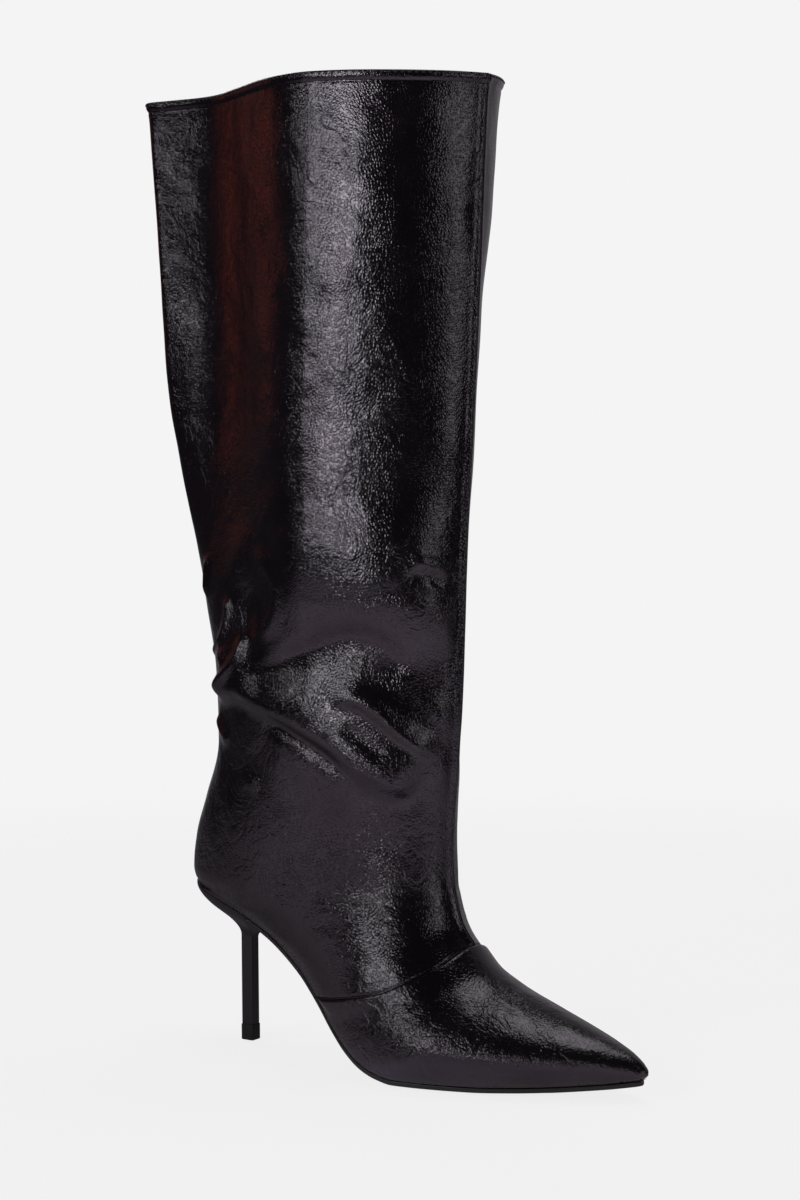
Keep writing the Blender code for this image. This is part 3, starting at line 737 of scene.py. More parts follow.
class MaterialMaker(TreeMaker):
    """Builds one node material."""

    def __init__(self, name: str) -> None:
        """Starts a material with a Principled shader.

        Args:
            name: The material's name.
        """
        self.material = bpy.data.materials.new(name)
        self.material.use_nodes = True
        super().__init__(self.material.node_tree)
        self.shader = self.tree.nodes["Principled BSDF"]
        self.place = self.node("ShaderNodeTexCoord", {}, {}, "Object")

    def set(self, **values: Value) -> None:
        """Feeds the shader's own sockets, named with _ for a space."""
        for name, value in values.items():
            self.feed(self.shader.inputs[name.replace("_", " ")], value)

    def noise(self, scale: float, detail: float = 2.0, rough: float = 0.5, distortion: float = 0.0) -> Signal:
        """Noise over the piece; scale is in repeats per metre."""
        inputs = {"Scale": scale, "Detail": detail, "Roughness": rough, "Distortion": distortion}
        return self.node("ShaderNodeTexNoise", {}, {"Vector": self.place, **inputs})

    def cells(self, scale: float) -> Signal:
        """Cells over the piece, as the distance to their edges."""
        settings = {"feature": "DISTANCE_TO_EDGE"}
        return self.node("ShaderNodeTexVoronoi", settings, {"Vector": self.place, "Scale": scale}, "Distance")

    def mix(self, factor: Value, low: Colour, high: Colour) -> Signal:
        """A colour between two."""
        inputs = {0: factor, 6: (*low, 1.0), 7: (*high, 1.0)}
        return self.node("ShaderNodeMix", {"data_type": "RGBA"}, inputs, 2)

    def bump(self, *layers: tuple[Signal, float]) -> None:
        """Bumps the surface by layers of (height, depth in metres)."""
        normal: Value | None = None
        for height, depth in layers:
            inputs: dict[str | int, Value] = {"Height": height, "Distance": depth, "Strength": 1.0}
            if normal is not None:
                inputs["Normal"] = normal
            normal = self.node("ShaderNodeBump", {}, inputs, "Normal")
        self.set(Normal=normal)


@dataclass(frozen=True)
class GlossLeather:
    """Glossy coated leather with a fine grain, patches of crumpled creases and soft unevenness."""

    name: str = "gloss_leather"
    dark: Colour = (0.002, 0.0011, 0.0027)
    light: Colour = (0.0044, 0.0024, 0.0046)
    roughness: float = 0.15
    grain: float = 0.00006
    crease: float = 0.00018
    slack: float = 0.00105

    def material(self) -> bpy.types.Material:
        """Builds the node material."""
        m = MaterialMaker(self.name)
        cloud = m.noise(26.0, 3.0, 0.55, 0.6)
        patches = m.noise(24.0, 2.0, 0.5, 0.4).between(0.42, 0.6)
        broad = m.noise(34.0, 1.0, 0.4, 0.4)
        middle = m.noise(84.0, 1.5, 0.45, 0.25)
        veins = m.noise(62.0, 3.0, 0.6, 0.7)
        lines = (1.0 - abs(veins - 0.5) * 16.0).between(0.0, 1.0)
        crumple = m.noise(210.0, 2.5, 0.55, 0.25)
        pebbles = m.cells(740.0).between(0.0, 0.36)
        fine = m.noise(2300.0, 2.0, 0.6)
        m.set(
            Base_Color=m.mix(cloud.between(0.3, 0.72), self.dark, self.light),
            Roughness=self.roughness + (cloud - 0.5) * 0.08 + patches * 0.05,
            IOR=1.63,
            Specular_Tint=(0.97, 0.88, 1.0, 1.0),
        )
        m.bump(
            (broad, self.slack),
            (middle * (0.4 + patches * 0.6), self.slack * 0.55),
            (crumple * (0.4 + patches * 0.6), self.crease * 1.5),
            (lines * patches, -self.crease * 0.7),
            (pebbles, self.grain),
            (fine, self.grain * 0.25),
        )
        return m.material


@dataclass(frozen=True)
class PlainFinish:
    """A plain material with a fine texture: its colour's two shades, roughness, scale and depth."""

    name: str
    dark: Colour
    light: Colour
    roughness: float
    scale: float
    depth: float

    def material(self) -> bpy.types.Material:
        """Builds the node material."""
        m = MaterialMaker(self.name)
        cloud = m.noise(self.scale * 0.06, 3.0, 0.6)
        fine = m.noise(self.scale, 3.0, 0.6)
        m.set(
            Base_Color=m.mix(cloud.between(0.3, 0.7), self.dark, self.light),
            Roughness=self.roughness + (fine - 0.5) * 0.12,
        )
        m.bump((fine, self.depth))
        return m.material


@dataclass(frozen=True)
class WovenFinish:
    """Dark lining cloth, with a twill that follows the height and the depth of the boot."""

    name: str
    dark: Colour
    light: Colour
    pitch: float = 0.0009

    def material(self) -> bpy.types.Material:
        """Builds the node material."""
        m = MaterialMaker(self.name)
        settings = {"wave_type": "BANDS", "bands_direction": "DIAGONAL"}
        inputs = {"Vector": m.place, "Scale": 0.3 / self.pitch, "Distortion": 0.6, "Detail": 1.0}
        twill = m.node("ShaderNodeTexWave", settings, inputs, "Fac")
        pile = m.noise(1500.0, 3.0, 0.65)
        m.set(Base_Color=m.mix(twill * 0.7 + pile * 0.3, self.dark, self.light), Roughness=0.85)
        m.bump((twill, 0.00008), (pile, 0.00006))
        return m.material


class Finish(Enum):
    """The finishes that are made here; the heel's two pieces wear the frame's own."""

    LEATHER = GlossLeather()
    VAMP_LEATHER = GlossLeather("vamp_leather", crease=0.0002, slack=0.0012)
    OUTSOLE = PlainFinish("outsole_rubber", (0.004, 0.004, 0.0045), (0.008, 0.0075, 0.008), 0.42, 900.0, 5e-5)
    THREAD = PlainFinish("thread", (0.003, 0.003, 0.003), (0.008, 0.007, 0.008), 0.5, 4000.0, 6e-5)
    LINING = WovenFinish("lining_cloth", (0.012, 0.011, 0.012), (0.032, 0.03, 0.031))
    SOCK = PlainFinish("insole_sock", (0.012, 0.011, 0.011), (0.028, 0.026, 0.026), 0.6, 1100.0, 6e-5)

    def material(self) -> bpy.types.Material:
        """Makes the finish's material."""
        return self.value.material()


@dataclass
class Upper:
    """Shaft and vamp: their leather, lining and seams.

    crevice is (share of the way to the vamp seam, depth) of the shaft's last rows, which sink under
    the vamp's edge. A calm is the distance over which the relief dies out.
    """

    leather: Leather
    relief: Relief
    wall: float = 1.6
    skin: float = 0.9
    lining_gap: float = 0.25
    rim_round: float = 0.85
    facing: float = 14.0
    seam_gap: float = 0.12
    vamp_proud: float = 1.35
    proud_fade: float = 15.0
    edge_round: float = 1.5
    edge_dip: float = 0.5
    vamp_slack: float = 0.35
    crevice: tuple[tuple[float, float], ...] = ((0.984, 0.12), (0.992, 0.35), (1.0, 0.7))
    crevice_calm: float = 6.0
    sole_calm: float = 10.0
    seat_calm: float = 12.0
    toe_calm: float = 20.0
    solid_toe: int = 14
    outer_columns: int = 132
    inner_columns: int = 96
    outer_start: float = 6.8
    inner_start: float = -6.0
    grid: tuple[Array, Array, int] | None = None

    def columns(self) -> list[tuple[float, float]]:
        """Each column as (millimetres from the seam, share of the rest), outer edge to inner edge."""
        near = sorted({s for s, _ in Relief.SEAM_PROFILE} | {5.2, self.outer_start, self.inner_start})
        outer = [(self.outer_start, k / self.outer_columns) for k in range(self.outer_columns, 0, -1)]
        inner = [(self.inner_start, k / self.inner_columns) for k in range(1, self.inner_columns + 1)]
        return outer + [(s, 0.0) for s in reversed(near)] + inner

    def turns(self, down: Array) -> tuple[Array, Array]:
        """Turn and distance from the seam of every column.

        Args:
            down: Positions down the leather, by row and column.

        Returns:
            turn and round_mm, in the same shape.
        """
        outer, inner = (side.reshape(down.shape) for side in self.leather.side_lengths(down.ravel()))
        columns = np.array(self.columns())
        side = np.where(columns[:, 0] >= 0, outer, inner)
        start = np.abs(columns[:, 0]) / side
        share = columns[:, 1]
        eased = share - 0.3 * np.sin(2 * np.pi * share) / (2 * np.pi) * (columns[:, 0] > 0)
        turn = np.sign(columns[:, 0]) * (start + (1 - start) * eased)
        return turn, turn * side

    def leg_rows(self) -> Array:
        """Rows from the rim to the back of the seat."""
        hem = [0.9, 1.2, 1.75, 2.4, 3.4, 4.3, 4.8, 5.4, 6.4, 8.0, 10.0]
        calf = np.arange(12.4, 206.0, 2.7)
        folds = np.arange(206.0, 346.0, 1.25)
        seat = np.linspace(346.0, self.leather.first_open, 27)
        return np.concatenate([hem, calf, folds, seat])

    def seam_down(self, turn: Array, offset: float) -> Array:
        """The vamp seam's position down the leather at places round it, moved towards the toe."""
        places = [row.turn for row in VAMP_SEAM]
        curve = smooth_through(places, [self.leather.down_of_sole_x(row.sole_x) for row in VAMP_SEAM])
        return curve(turn) + offset

    @staticmethod
    def normals(grid: Array, ring_rows: int) -> Array:
        """Outward unit normals of a grid of points whose first rows are rings."""
        down = np.gradient(grid, axis=0)
        across = np.gradient(grid, axis=1)
        middle = grid[:ring_rows, 1] - grid[:ring_rows, -2]
        across[:ring_rows, 0] = across[:ring_rows, -1] = middle
        return unit(np.cross(down, across))

    def surface(self, down: Array, ring_rows: int, folded: bool) -> tuple[Array, Array]:
        """Finished leather points and normals of a grid of positions.

        Args:
            down: Positions down the leather, by row and column.
            ring_rows: How many of the first rows are closed rings.
            folded: Whether the shaft's relief is applied.

        Returns:
            Points and outward normals.
        """
        turn, round_mm = self.turns(down)
        points = self.leather.points(down, turn)
        if folded:
            normal = self.normals(points, ring_rows)
            lift = self.relief.lift(points, round_mm, down)
            edge = self.edge_distance(points)
            calm = ease(edge[ring_rows:] / self.sole_calm)  # it dies out towards the sole
            lift[ring_rows:] *= calm
            over = self.leather.first_open - down[:ring_rows]
            lift[:ring_rows] *= ease(over / self.seat_calm + calm[:1])
            lift[:ring_rows, 0] = lift[:ring_rows, -1] = (lift[:ring_rows, 0] + lift[:ring_rows, -1]) / 2
            points = points + lift[..., None] * normal
        return points, self.normals(points, ring_rows)

    @staticmethod
    def edge_distance(points: Array) -> Array:
        """Distance of each point from its row's two ends."""
        first = np.linalg.norm(points - points[:, :1], axis=2)
        last = np.linalg.norm(points - points[:, -1:], axis=2)
        return np.minimum(first, last)

    def sunk(self, points: Array, normals: Array, depth: float, ring_rows: int) -> Array:
        """A grid moved into the boot; its lower edges stay flat on the sole's line."""
        moved = points - depth * normals
        sole = self.leather.sole
        for column, outer, sign in ((0, True, -1.0), (-1, False, 1.0)):
            x, half = sole.outline(points[ring_rows:, column, 0], outer, depth)
            moved[ring_rows:, column] = np.stack([x, sign * half, sole.feather(x)], axis=1)
        if ring_rows:
            moved[:ring_rows, 0, 1] = 0.0
            moved[:ring_rows, -1] = moved[:ring_rows, 0]
        return moved

    @staticmethod
    def thin(count: int, step: int) -> Array:
        """Every so many of a number of indices, with the last one."""
        return np.unique(np.append(np.arange(0, count, step), count - 1))

    def shaft_grid(self) -> tuple[Array, Array, int]:
        """The shaft's outer points and normals, and how many rows are rings."""
        if self.grid is not None:
            return self.grid
        columns = len(self.columns())
        leg = np.repeat(self.leg_rows()[:, None], columns, axis=1)
        turn, _ = self.turns(leg[-1:])
        end = self.seam_down(turn[0], -self.seam_gap)
        ends, depths = zip(*self.crevice)
        shares = np.concatenate([np.linspace(0, 1, 58)[1:-1] ** 1.25, ends])
        foot = self.leather.first_open + shares[:, None] * (end - self.leather.first_open)[None, :]
        rings = len(leg)
        points, normals = self.surface(np.concatenate([leg, foot]), rings, True)
        sunk = np.zeros(len(points))
        sunk[-len(depths) :] = depths
        near_sole = ease(self.edge_distance(points) / self.crevice_calm)
        points = points - (sunk[:, None] * near_sole)[..., None] * normals
        self.grid = points, normals, rings
        return self.grid

    def build_shaft(self) -> bpy.types.Object:
        """The shaft's leather: outer skin, turned rim, facing and hidden inner skin."""
        points, normals, rings = self.shaft_grid()
        mesh = Mesher()
        outer = mesh.add(points, rings)
        mesh.quads(outer)
        flat = unit(normals * (1, 1, 0))
        radius = self.rim_round
        first = int((self.leg_rows() < self.facing).sum())
        turned = []
        for k in range(1, 7):
            angle = math.pi * k / 6
            up = (0.0, 0.0, radius * math.sin(angle))
            turned.append(points[0] - radius * (1 - math.cos(angle)) * flat[0] + up)
        turned += [points[k] - 2 * radius * flat[k] for k in range(1, first, 2)]
        above = outer[0]
        for ring in turned:
            index = mesh.add(ring[None], 1)
            mesh.quads(np.stack([index[0], above]))
            above = index[0]
        leg = first + self.thin(rings - first, 3)
        foot = rings - 1 + self.thin(len(points) - rings + 1, 3)
        inner, inner_rings = self.layer(mesh, self.skin, np.union1d(leg, foot), flip=True)
        mesh.zip(above, inner[0], flip=True)
        mesh.skirt(outer[rings - 1 :], inner[inner_rings - 1 :])
        mesh.zip(outer[-1], inner[-1])
        return attach(mesh.build("shaft_leather", Finish.LEATHER.material()), "upper_leather", "shaft")

    def layer(self, mesh: Mesher, depth: float, rows: Array, flip: bool) -> tuple[Array, int]:
        """Adds a coarser layer of the shaft at a depth under its surface.

        Args:
            mesh: The piece.
            depth: How deep it lies.
            rows: Which of the shaft's rows it keeps.
            flip: Whether its faces look inwards.

        Returns:
            The index of each point, and how many rows are rings.
        """
        points, normals, rings = self.shaft_grid()
        kept = np.ix_(rows, self.thin(points.shape[1], 2))
        layer_rings = int((rows < rings).sum())
        index = mesh.add(self.sunk(points, normals, depth, rings)[kept], layer_rings)
        mesh.quads(index, flip)
        return index, layer_rings

    def vamp_down(self, rows: Array, gap: float) -> Array:
        """Positions of the vamp's rows, as shares from its seam to the toe."""
        columns = len(self.columns())
        turn, _ = self.turns(np.full((1, columns), self.leather.first_open + 60))
        start = self.seam_down(turn[0], gap)
        return start[None, :] + rows[:, None] * (self.leather.length - start)[None, :]

    def build_vamp(self) -> bpy.types.Object:
        """The vamp's leather, whose folded back edge stands over the shaft."""
        edge = np.array([0.0, 0.0005, 0.0013, 0.0026, 0.0044, 0.0068, 0.0105, 0.017])
        rest = 1 - (1 - np.linspace(0, 1, 104)[1:]) ** 1.35
        rows = np.concatenate([edge, edge[-1] + (1 - edge[-1]) * rest])
        down = self.vamp_down(rows, self.seam_gap)
        points, normals = self.surface(down, 0, False)
        from_seam = np.linalg.norm(points - points[:1], axis=2)
        at_sole = ease(self.edge_distance(points) / self.sole_calm)
        rounding = np.sqrt(np.clip(1 - (1 - np.clip(from_seam / self.edge_round, 0, 1)) ** 2, 0, 1))
        proud = self.vamp_proud * (1 - ease(from_seam / self.proud_fade)) * rounding
        proud -= self.edge_dip * (1 - rounding)
        soft = Relief.waves(points, down) * self.vamp_slack
        at_toe = ease((TOE_X - 0.8 - points[..., 0]) / self.toe_calm)
        points = points + ((proud + soft) * at_sole * at_toe)[..., None] * normals
        mesh = Mesher()
        outer = mesh.add(points)
        mesh.quads(outer)
        kept = self.thin(len(points) - self.solid_toe, 3)
        inner_points = self.sunk(points, normals, self.wall, 0)
        inner = mesh.add(inner_points[np.ix_(kept, self.thin(points.shape[1], 2))])
        mesh.quads(inner, flip=True)
        mesh.zip(outer[0], inner[0], flip=True)
        end = kept[-1]
        mesh.skirt(outer[: end + 1], inner)
        last = inner[-1]
        for a in range(len(last) // 2):
            b = len(last) - 1 - a
            mesh.face(last[[a, a + 1, b - 1, b]])
        for i in range(end, len(points) - 1):
            mesh.face((outer[i][0], outer[i][-1], outer[i + 1][-1], outer[i + 1][0]))
        mesh.face((outer[end][0], last[0], last[-1], outer[end][-1]))
        return attach(mesh.build("vamp_leather", Finish.VAMP_LEATHER.material()), "upper_leather", "vamp")

    def build_lining(self) -> bpy.types.Object:
        """The lining inside the shaft, from under the facing to the seat."""
        points, _, rings = self.shaft_grid()
        first = int((self.leg_rows() < self.facing - 3).sum())
        rows = np.union1d(np.arange(first, len(points), 3), [rings - 1, len(points) - 1])
        mesh = Mesher()
        inside, _ = self.layer(mesh, self.wall + self.lining_gap, rows, flip=True)
        outside, layer_rings = self.layer(mesh, self.skin + self.lining_gap, rows, flip=False)
        mesh.zip(outside[0], inside[0], flip=True)
        mesh.zip(outside[-1], inside[-1])
        mesh.skirt(outside[layer_rings - 1 :], inside[layer_rings - 1 :])
        return attach(mesh.build("shaft_lining", Finish.LINING.material()), "lining")


def attach(piece: bpy.types.Object, slot: str, *nodes: str) -> bpy.types.Object:
    """Ties a piece to the frame's root body and hides the frame's nodes that it stands for."""
    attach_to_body(piece, "root")
    if nodes:
        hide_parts(*nodes)
    LOG.info("made %s", piece.name)
    return piece


class GeometryMaker(TreeMaker):
    """Builds one Geometry Nodes tree."""

    def __init__(self, name: str, inputs: dict[str, str]) -> None:
        """Starts a tree that takes and gives a geometry.

        Args:
            name: The tree's name.
            inputs: The socket type of each other input.
        """
        super().__init__(bpy.data.node_groups.new(name, "GeometryNodeTree"))
        shape = {"Geometry": "NodeSocketGeometry"}
        for way, sockets in (("INPUT", shape | inputs), ("OUTPUT", shape)):
            for label, kind in sockets.items():
                self.tree.interface.new_socket(label, in_out=way, socket_type=kind)
        start = self.tree.nodes.new("NodeGroupInput")
        self.pins = {label: Signal(self, start.outputs[label]) for label in shape | inputs}
        self.end = self.tree.nodes.new("NodeGroupOutput").inputs[0]

    def apply(self, obj: bpy.types.Object, name: str, values: dict[str, object]) -> bpy.types.Object:
        """Runs the tree on an object and keeps the result as a plain mesh.

        Args:
            obj: The guide that the tree works on; it is removed.
            name: The new piece's name.
            values: A value for each named input.

        Returns:
            The new piece.
        """
        modifier = obj.modifiers.new(name, "NODES")
        modifier.node_group = self.tree
        for item in self.tree.interface.items_tree:
            if item.in_out == "INPUT" and item.name in values:
                modifier[item.identifier] = values[item.name]
        graph = bpy.context.evaluated_depsgraph_get()
        mesh = bpy.data.meshes.new_from_object(obj.evaluated_get(graph))
        mesh.name = name
        bpy.data.objects.remove(obj)
        piece = bpy.data.objects.new(name, mesh)
        bpy.context.scene.collection.objects.link(piece)
        return piece


@dataclass
class HemStitches:
    """The row of stitches under the collar's edge."""

    upper: Upper
    below_edge: float = 1.2
    pitch: float = 3.2
    length: float = 2.1
    thick: float = 0.42
    proud: float = 0.08

    @staticmethod
    def tree() -> GeometryMaker:
        """A tree that lays stitches along a line."""
        sizes = dict.fromkeys(("Pitch", "Length", "Radius"), "NodeSocketFloat")
        tree = GeometryMaker("stitches", sizes | {"Thread": "NodeSocketMaterial"})
        pins, radius = tree.pins, tree.pins["Radius"]
        spaced = {"Curve": pins["Geometry"], "Length": pins["Pitch"]}
        line = tree.node("GeometryNodeResampleCurve", {"mode": "LENGTH"}, spaced)
        thread = tree.node("GeometryNodeMeshUVSphere", {}, {"Segments": 8, "Rings": 6, "Radius": 1.0})
        size = tree.node("ShaderNodeCombineXYZ", {}, {"X": radius, "Y": radius, "Z": pins["Length"] * 0.5})
        tangent = tree.node("GeometryNodeInputTangent", {}, {})
        turn = tree.node("FunctionNodeAlignRotationToVector", {"axis": "Z"}, {"Vector": tangent})
        stitches = {"Points": line, "Instance": thread, "Rotation": turn, "Scale": size}
        laid = tree.node("GeometryNodeInstanceOnPoints", {}, stitches)
        real = tree.node("GeometryNodeRealizeInstances", {}, {"Geometry": laid})
        named = tree.node("GeometryNodeSetMaterial", {}, {"Geometry": real, "Material": pins["Thread"]})
        tree.feed(tree.end, named)
        return tree

    def build(self) -> bpy.types.Object:
        """Lays the stitches round the collar."""
        points, normals, _ = self.upper.shaft_grid()
        row = int(np.argmin(np.abs(self.upper.leg_rows() - self.below_edge)))
        line = points[row] + self.proud * normals[row]
        path = (line[:-1] - (ORIGIN_X, 0.0, 0.0)) * MM
        curve = bpy.data.curves.new("hem_line", "CURVE")
        curve.dimensions = "3D"
        spline = curve.splines.new("POLY")
        spline.points.add(len(path) - 1)
        spline.points.foreach_set("co", np.c_[path, np.ones(len(path))].ravel())
        spline.use_cyclic_u = True
        guide = bpy.data.objects.new("hem_line", curve)
        bpy.context.scene.collection.objects.link(guide)
        sizes = {"Pitch": self.pitch, "Length": self.length, "Radius": self.thick}
        values = {name: size * MM for name, size in sizes.items()} | {"Thread": Finish.THREAD.material()}
        piece = self.tree().apply(guide, "hem_stitches", values)
        return attach(piece, "upper_leather")


@dataclass
class Bottom:
    """Outsole, insole, heel and top piece."""

    sole: SoleLine
    breast_x: float = 49.0
    gap: float = 0.3
    seat_gap: float = 0.4
    thickness: float = 2.3
    waist_thickness: float = 1.7
    crown: float = 1.6
    crown_flat: float = 0.6
    stem: tuple[float, float] = (6.7, 6.0)
    stem_x: float = 33.2
    stem_top: float = 50.0
    stem_corner: float = 0.7
    flare_start: float = 0.1
    tip: tuple[float, float, float] = (7.3, 6.6, 8.0)
    tip_corner: float = 0.8
    insole: tuple[float, float] = (6.1, 243.0)
    insole_inset: float = 2.6

    def crown_at(self, x: Array) -> Array:
        """How far the sole's middle hangs below its edges at x."""
        toe_share = np.minimum((self.sole.last - x) / 40, 1.0)
        return self.crown * ease((x - 60.0) / 50.0) * toe_share

    def plate(self, xs: Array, inset: float, layers: Sequence[tuple[float, Array]]) -> Mesher:
        """A curved plate along the sole.

        Args:
            xs: Positions of its sections.
            inset: Distance of its edge inside the sole's outline.
            layers: Its edge profile from top to bottom: extra inset, and height over the sole's line.

        Returns:
            The mesh, closed.
        """
        across = np.concatenate([[0.0, 0.3], np.linspace(0.55, 1.0, 9)])
        rings = []
        for k, x in enumerate(xs):
            sag = self.crown_at(x) * (1 - ease((across - self.crown_flat) / (1 - self.crown_flat)))
            sides = []
            for outer in (True, False):
                rows = []
                for extra, above in layers:
                    edge_x, half = self.sole.outline(x, outer, inset + extra)
                    here = x + across * (edge_x - x)
                    height = self.sole.height(here, above[k]) - sag
                    rows.append(np.stack([here, (-half if outer else half) * across, height], axis=1))
                sides.append(np.array(rows))
            lateral, medial = sides
            runs = (
                lateral[0, :-1], lateral[:, -1], lateral[-1, :-1][::-1],
                medial[-1, 1:-1], medial[::-1, -1], medial[0, 1:-1][::-1],
            )
            rings.append(np.concatenate(runs))
        mesh = Mesher()
        mesh.tube(np.array(rings))
        return mesh

    def build_outsole(self) -> bpy.types.Object:
        """The thin sole, whose edge is rounded."""
        start, end = self.breast_x + self.gap, self.sole.last - 0.6
        xs = start + (end - start) * (1 - (1 - np.linspace(0, 1, 150)) ** 1.4)
        thick = self.waist_thickness + (self.thickness - self.waist_thickness) * ease((xs - 85) / 40)
        profile = ((0.3, 0.0), (0.08, 0.08), (0.0, 0.25), (0.0, 0.7), (0.1, 0.88), (0.5, 1.0))
        layers = [(extra, -self.seat_gap - thick * share) for extra, share in profile]
        piece = self.plate(xs, 0.0, layers).build("outsole_edge", Finish.OUTSOLE.material())
        return attach(piece, "outsole", "outsole")

    def build_insole(self) -> bpy.types.Object:
        """The insole with its sock lining."""
        start, end = self.insole
        xs = start + (end - start) * np.linspace(0, 1, 90) ** 1.4
        profile = ((0.5, 2.0), (0.12, 1.85), (0.0, 1.5), (0.0, 0.3), (0.3, 0.0))
        layers = [(extra, np.full(len(xs), above)) for extra, above in profile]
        piece = self.plate(xs, self.insole_inset, layers).build("insole_sock", Finish.SOCK.material())
        return attach(piece, "lining", "insole")

    @staticmethod
    def sides(count: int) -> list[tuple[int, float]]:
        """Side and share of it for each of count places round a square, from its front middle."""
        places = [divmod(i + count // 8, count // 4) for i in range(count)]
        return [(side % 4, step / (count // 4)) for side, step in places]

    def rounded_square(self, size: tuple[float, float], corner: float, count: int) -> Array:
        """A rounded rectangle, from its front middle round by the outer side."""
        half = np.array(size) / 2
        points = []
        for side, t in self.sides(count):
            square = ((1, 1 - 2 * t), (1 - 2 * t, -1), (-1, -1 + 2 * t), (-1 + 2 * t, 1))[side]
            point = np.array(square) * half
            core = np.clip(point, corner - half, half - corner)
            away = point - core
            points.append(core + corner * away / max(np.linalg.norm(away), 1e-9))
        return np.array(points)

    def seat(self, count: int) -> Array:
        """The heel seat's outline in step with rounded_square."""
        breast = self.breast_x - self.gap
        reach = breast - self.sole.first
        lateral, medial = (float(self.sole.half_width(breast, outer)) for outer in (True, False))
        points = []
        for side, t in self.sides(count):
            if side == 0:
                points.append((breast, medial - t * (lateral + medial)))
                continue
            turn = (t * 2 / 3, 2 / 3 + (1 - abs(2 * t - 1)) / 3, (1 - t) * 2 / 3)[side - 1]
            outer = side == 1 or (side == 2 and t <= 0.5)
            x = self.sole.first + reach * (1 - math.sin(turn * math.pi / 2))
            half = float(self.sole.half_width(x, outer))
            points.append((x, -half if outer else half))
        return np.array(points)

    def build_heel(self) -> bpy.types.Object:
        """The covered heel: a square stem that flares into the seat."""
        count = 112
        stem, seat = self.rounded_square(self.stem, self.stem_corner, count), self.seat(count)
        seat_z = self.sole.height(seat[:, 0], -self.seat_gap)
        levels = np.linspace(self.tip[2] + 0.1, self.stem_top, 16)
        rings = [np.c_[stem + (self.stem_x, 0.0), np.full(count, z)] for z in levels]
        for t in np.linspace(0, 1, 45)[1:]:
            flare = float(ease((t - self.flare_start) / (1 - self.flare_start)))
            xy = (stem + (self.stem_x, 0.0)) * (1 - flare) + seat * flare
            rings.append(np.c_[xy, self.stem_top * (1 - t) + seat_z * t])
        mesh = Mesher()
        top = mesh.tube(np.array(rings), capped=False)[-1]
        for i in range(count // 2):
            mesh.face((top[count - i], top[count - i - 1], top[i + 1], top[i]))
        piece = mesh.build("heel_cover", bpy.data.materials["heel_cover"])
        piece.data.set_sharp_from_angle(angle=math.radians(38))
        return attach(piece, "heel_cover", "heel")

    def build_tip(self) -> bpy.types.Object:
        """The top piece under the stem, a little wider than it."""
        count = 64
        size_x, size_y, high = self.tip
        rings = []
        profile = ((0.5, 0.0), (0.15, 0.12), (0.0, 0.45), (0.0, high - 0.4), (0.12, high - 0.1), (0.4, high))
        for inset, z in profile:
            ring = self.rounded_square((size_x - 2 * inset, size_y - 2 * inset), self.tip_corner, count)
            rings.append(np.c_[ring + (self.stem_x, 0.0), np.full(count, z)])
        mesh = Mesher()
        mesh.tube(np.array(rings))
        piece = mesh.build("top_piece", bpy.data.materials["top_piece"])
        piece.data.set_sharp_from_angle(angle=math.radians(40))
        return attach(piece, "top_piece", "heel_tip")


def hang_light(name: str, size: tuple[float, float], radiance: float, colour: Colour, pose: Matrix) -> None:
    """Hangs a rectangular light that the camera doesn't see.

    Args:
        name: Its name.
        size: Width and height in metres.
        radiance: How bright its face is.
        colour: Its colour.
        pose: Where it hangs; it shines along its own -Z.
    """
    light = bpy.data.lights.new(name, "AREA")
    light.shape = "RECTANGLE"
    light.size, light.size_y = size
    light.energy = radiance * math.pi * size[0] * size[1]
    light.color = colour
    obj = bpy.data.objects.new(name, light)
    obj.matrix_world = pose
    obj.visible_camera = False
    bpy.context.scene.collection.objects.link(obj)


@dataclass(frozen=True)
class Softbox:
    """An upright softbox that faces the boot: where it stands, in degrees and metres, and its light."""

    name: str
    azimuth: float
    distance: float
    low: float
    high: float
    width: float
    radiance: float
    colour: Colour = (1.0, 1.0, 1.0)

    def build(self) -> None:
        """Makes the light."""
        angle = math.radians(self.azimuth)
        outward = Vector((math.cos(angle), math.sin(angle), 0.0))
        place = outward * self.distance + Vector((0.0, 0.0, (self.low + self.high) / 2))
        pose = Matrix.Translation(place) @ (-outward).to_track_quat("-Z", "Y").to_matrix().to_4x4()
        hang_light(self.name, (self.width, self.high - self.low), self.radiance, self.colour, pose)


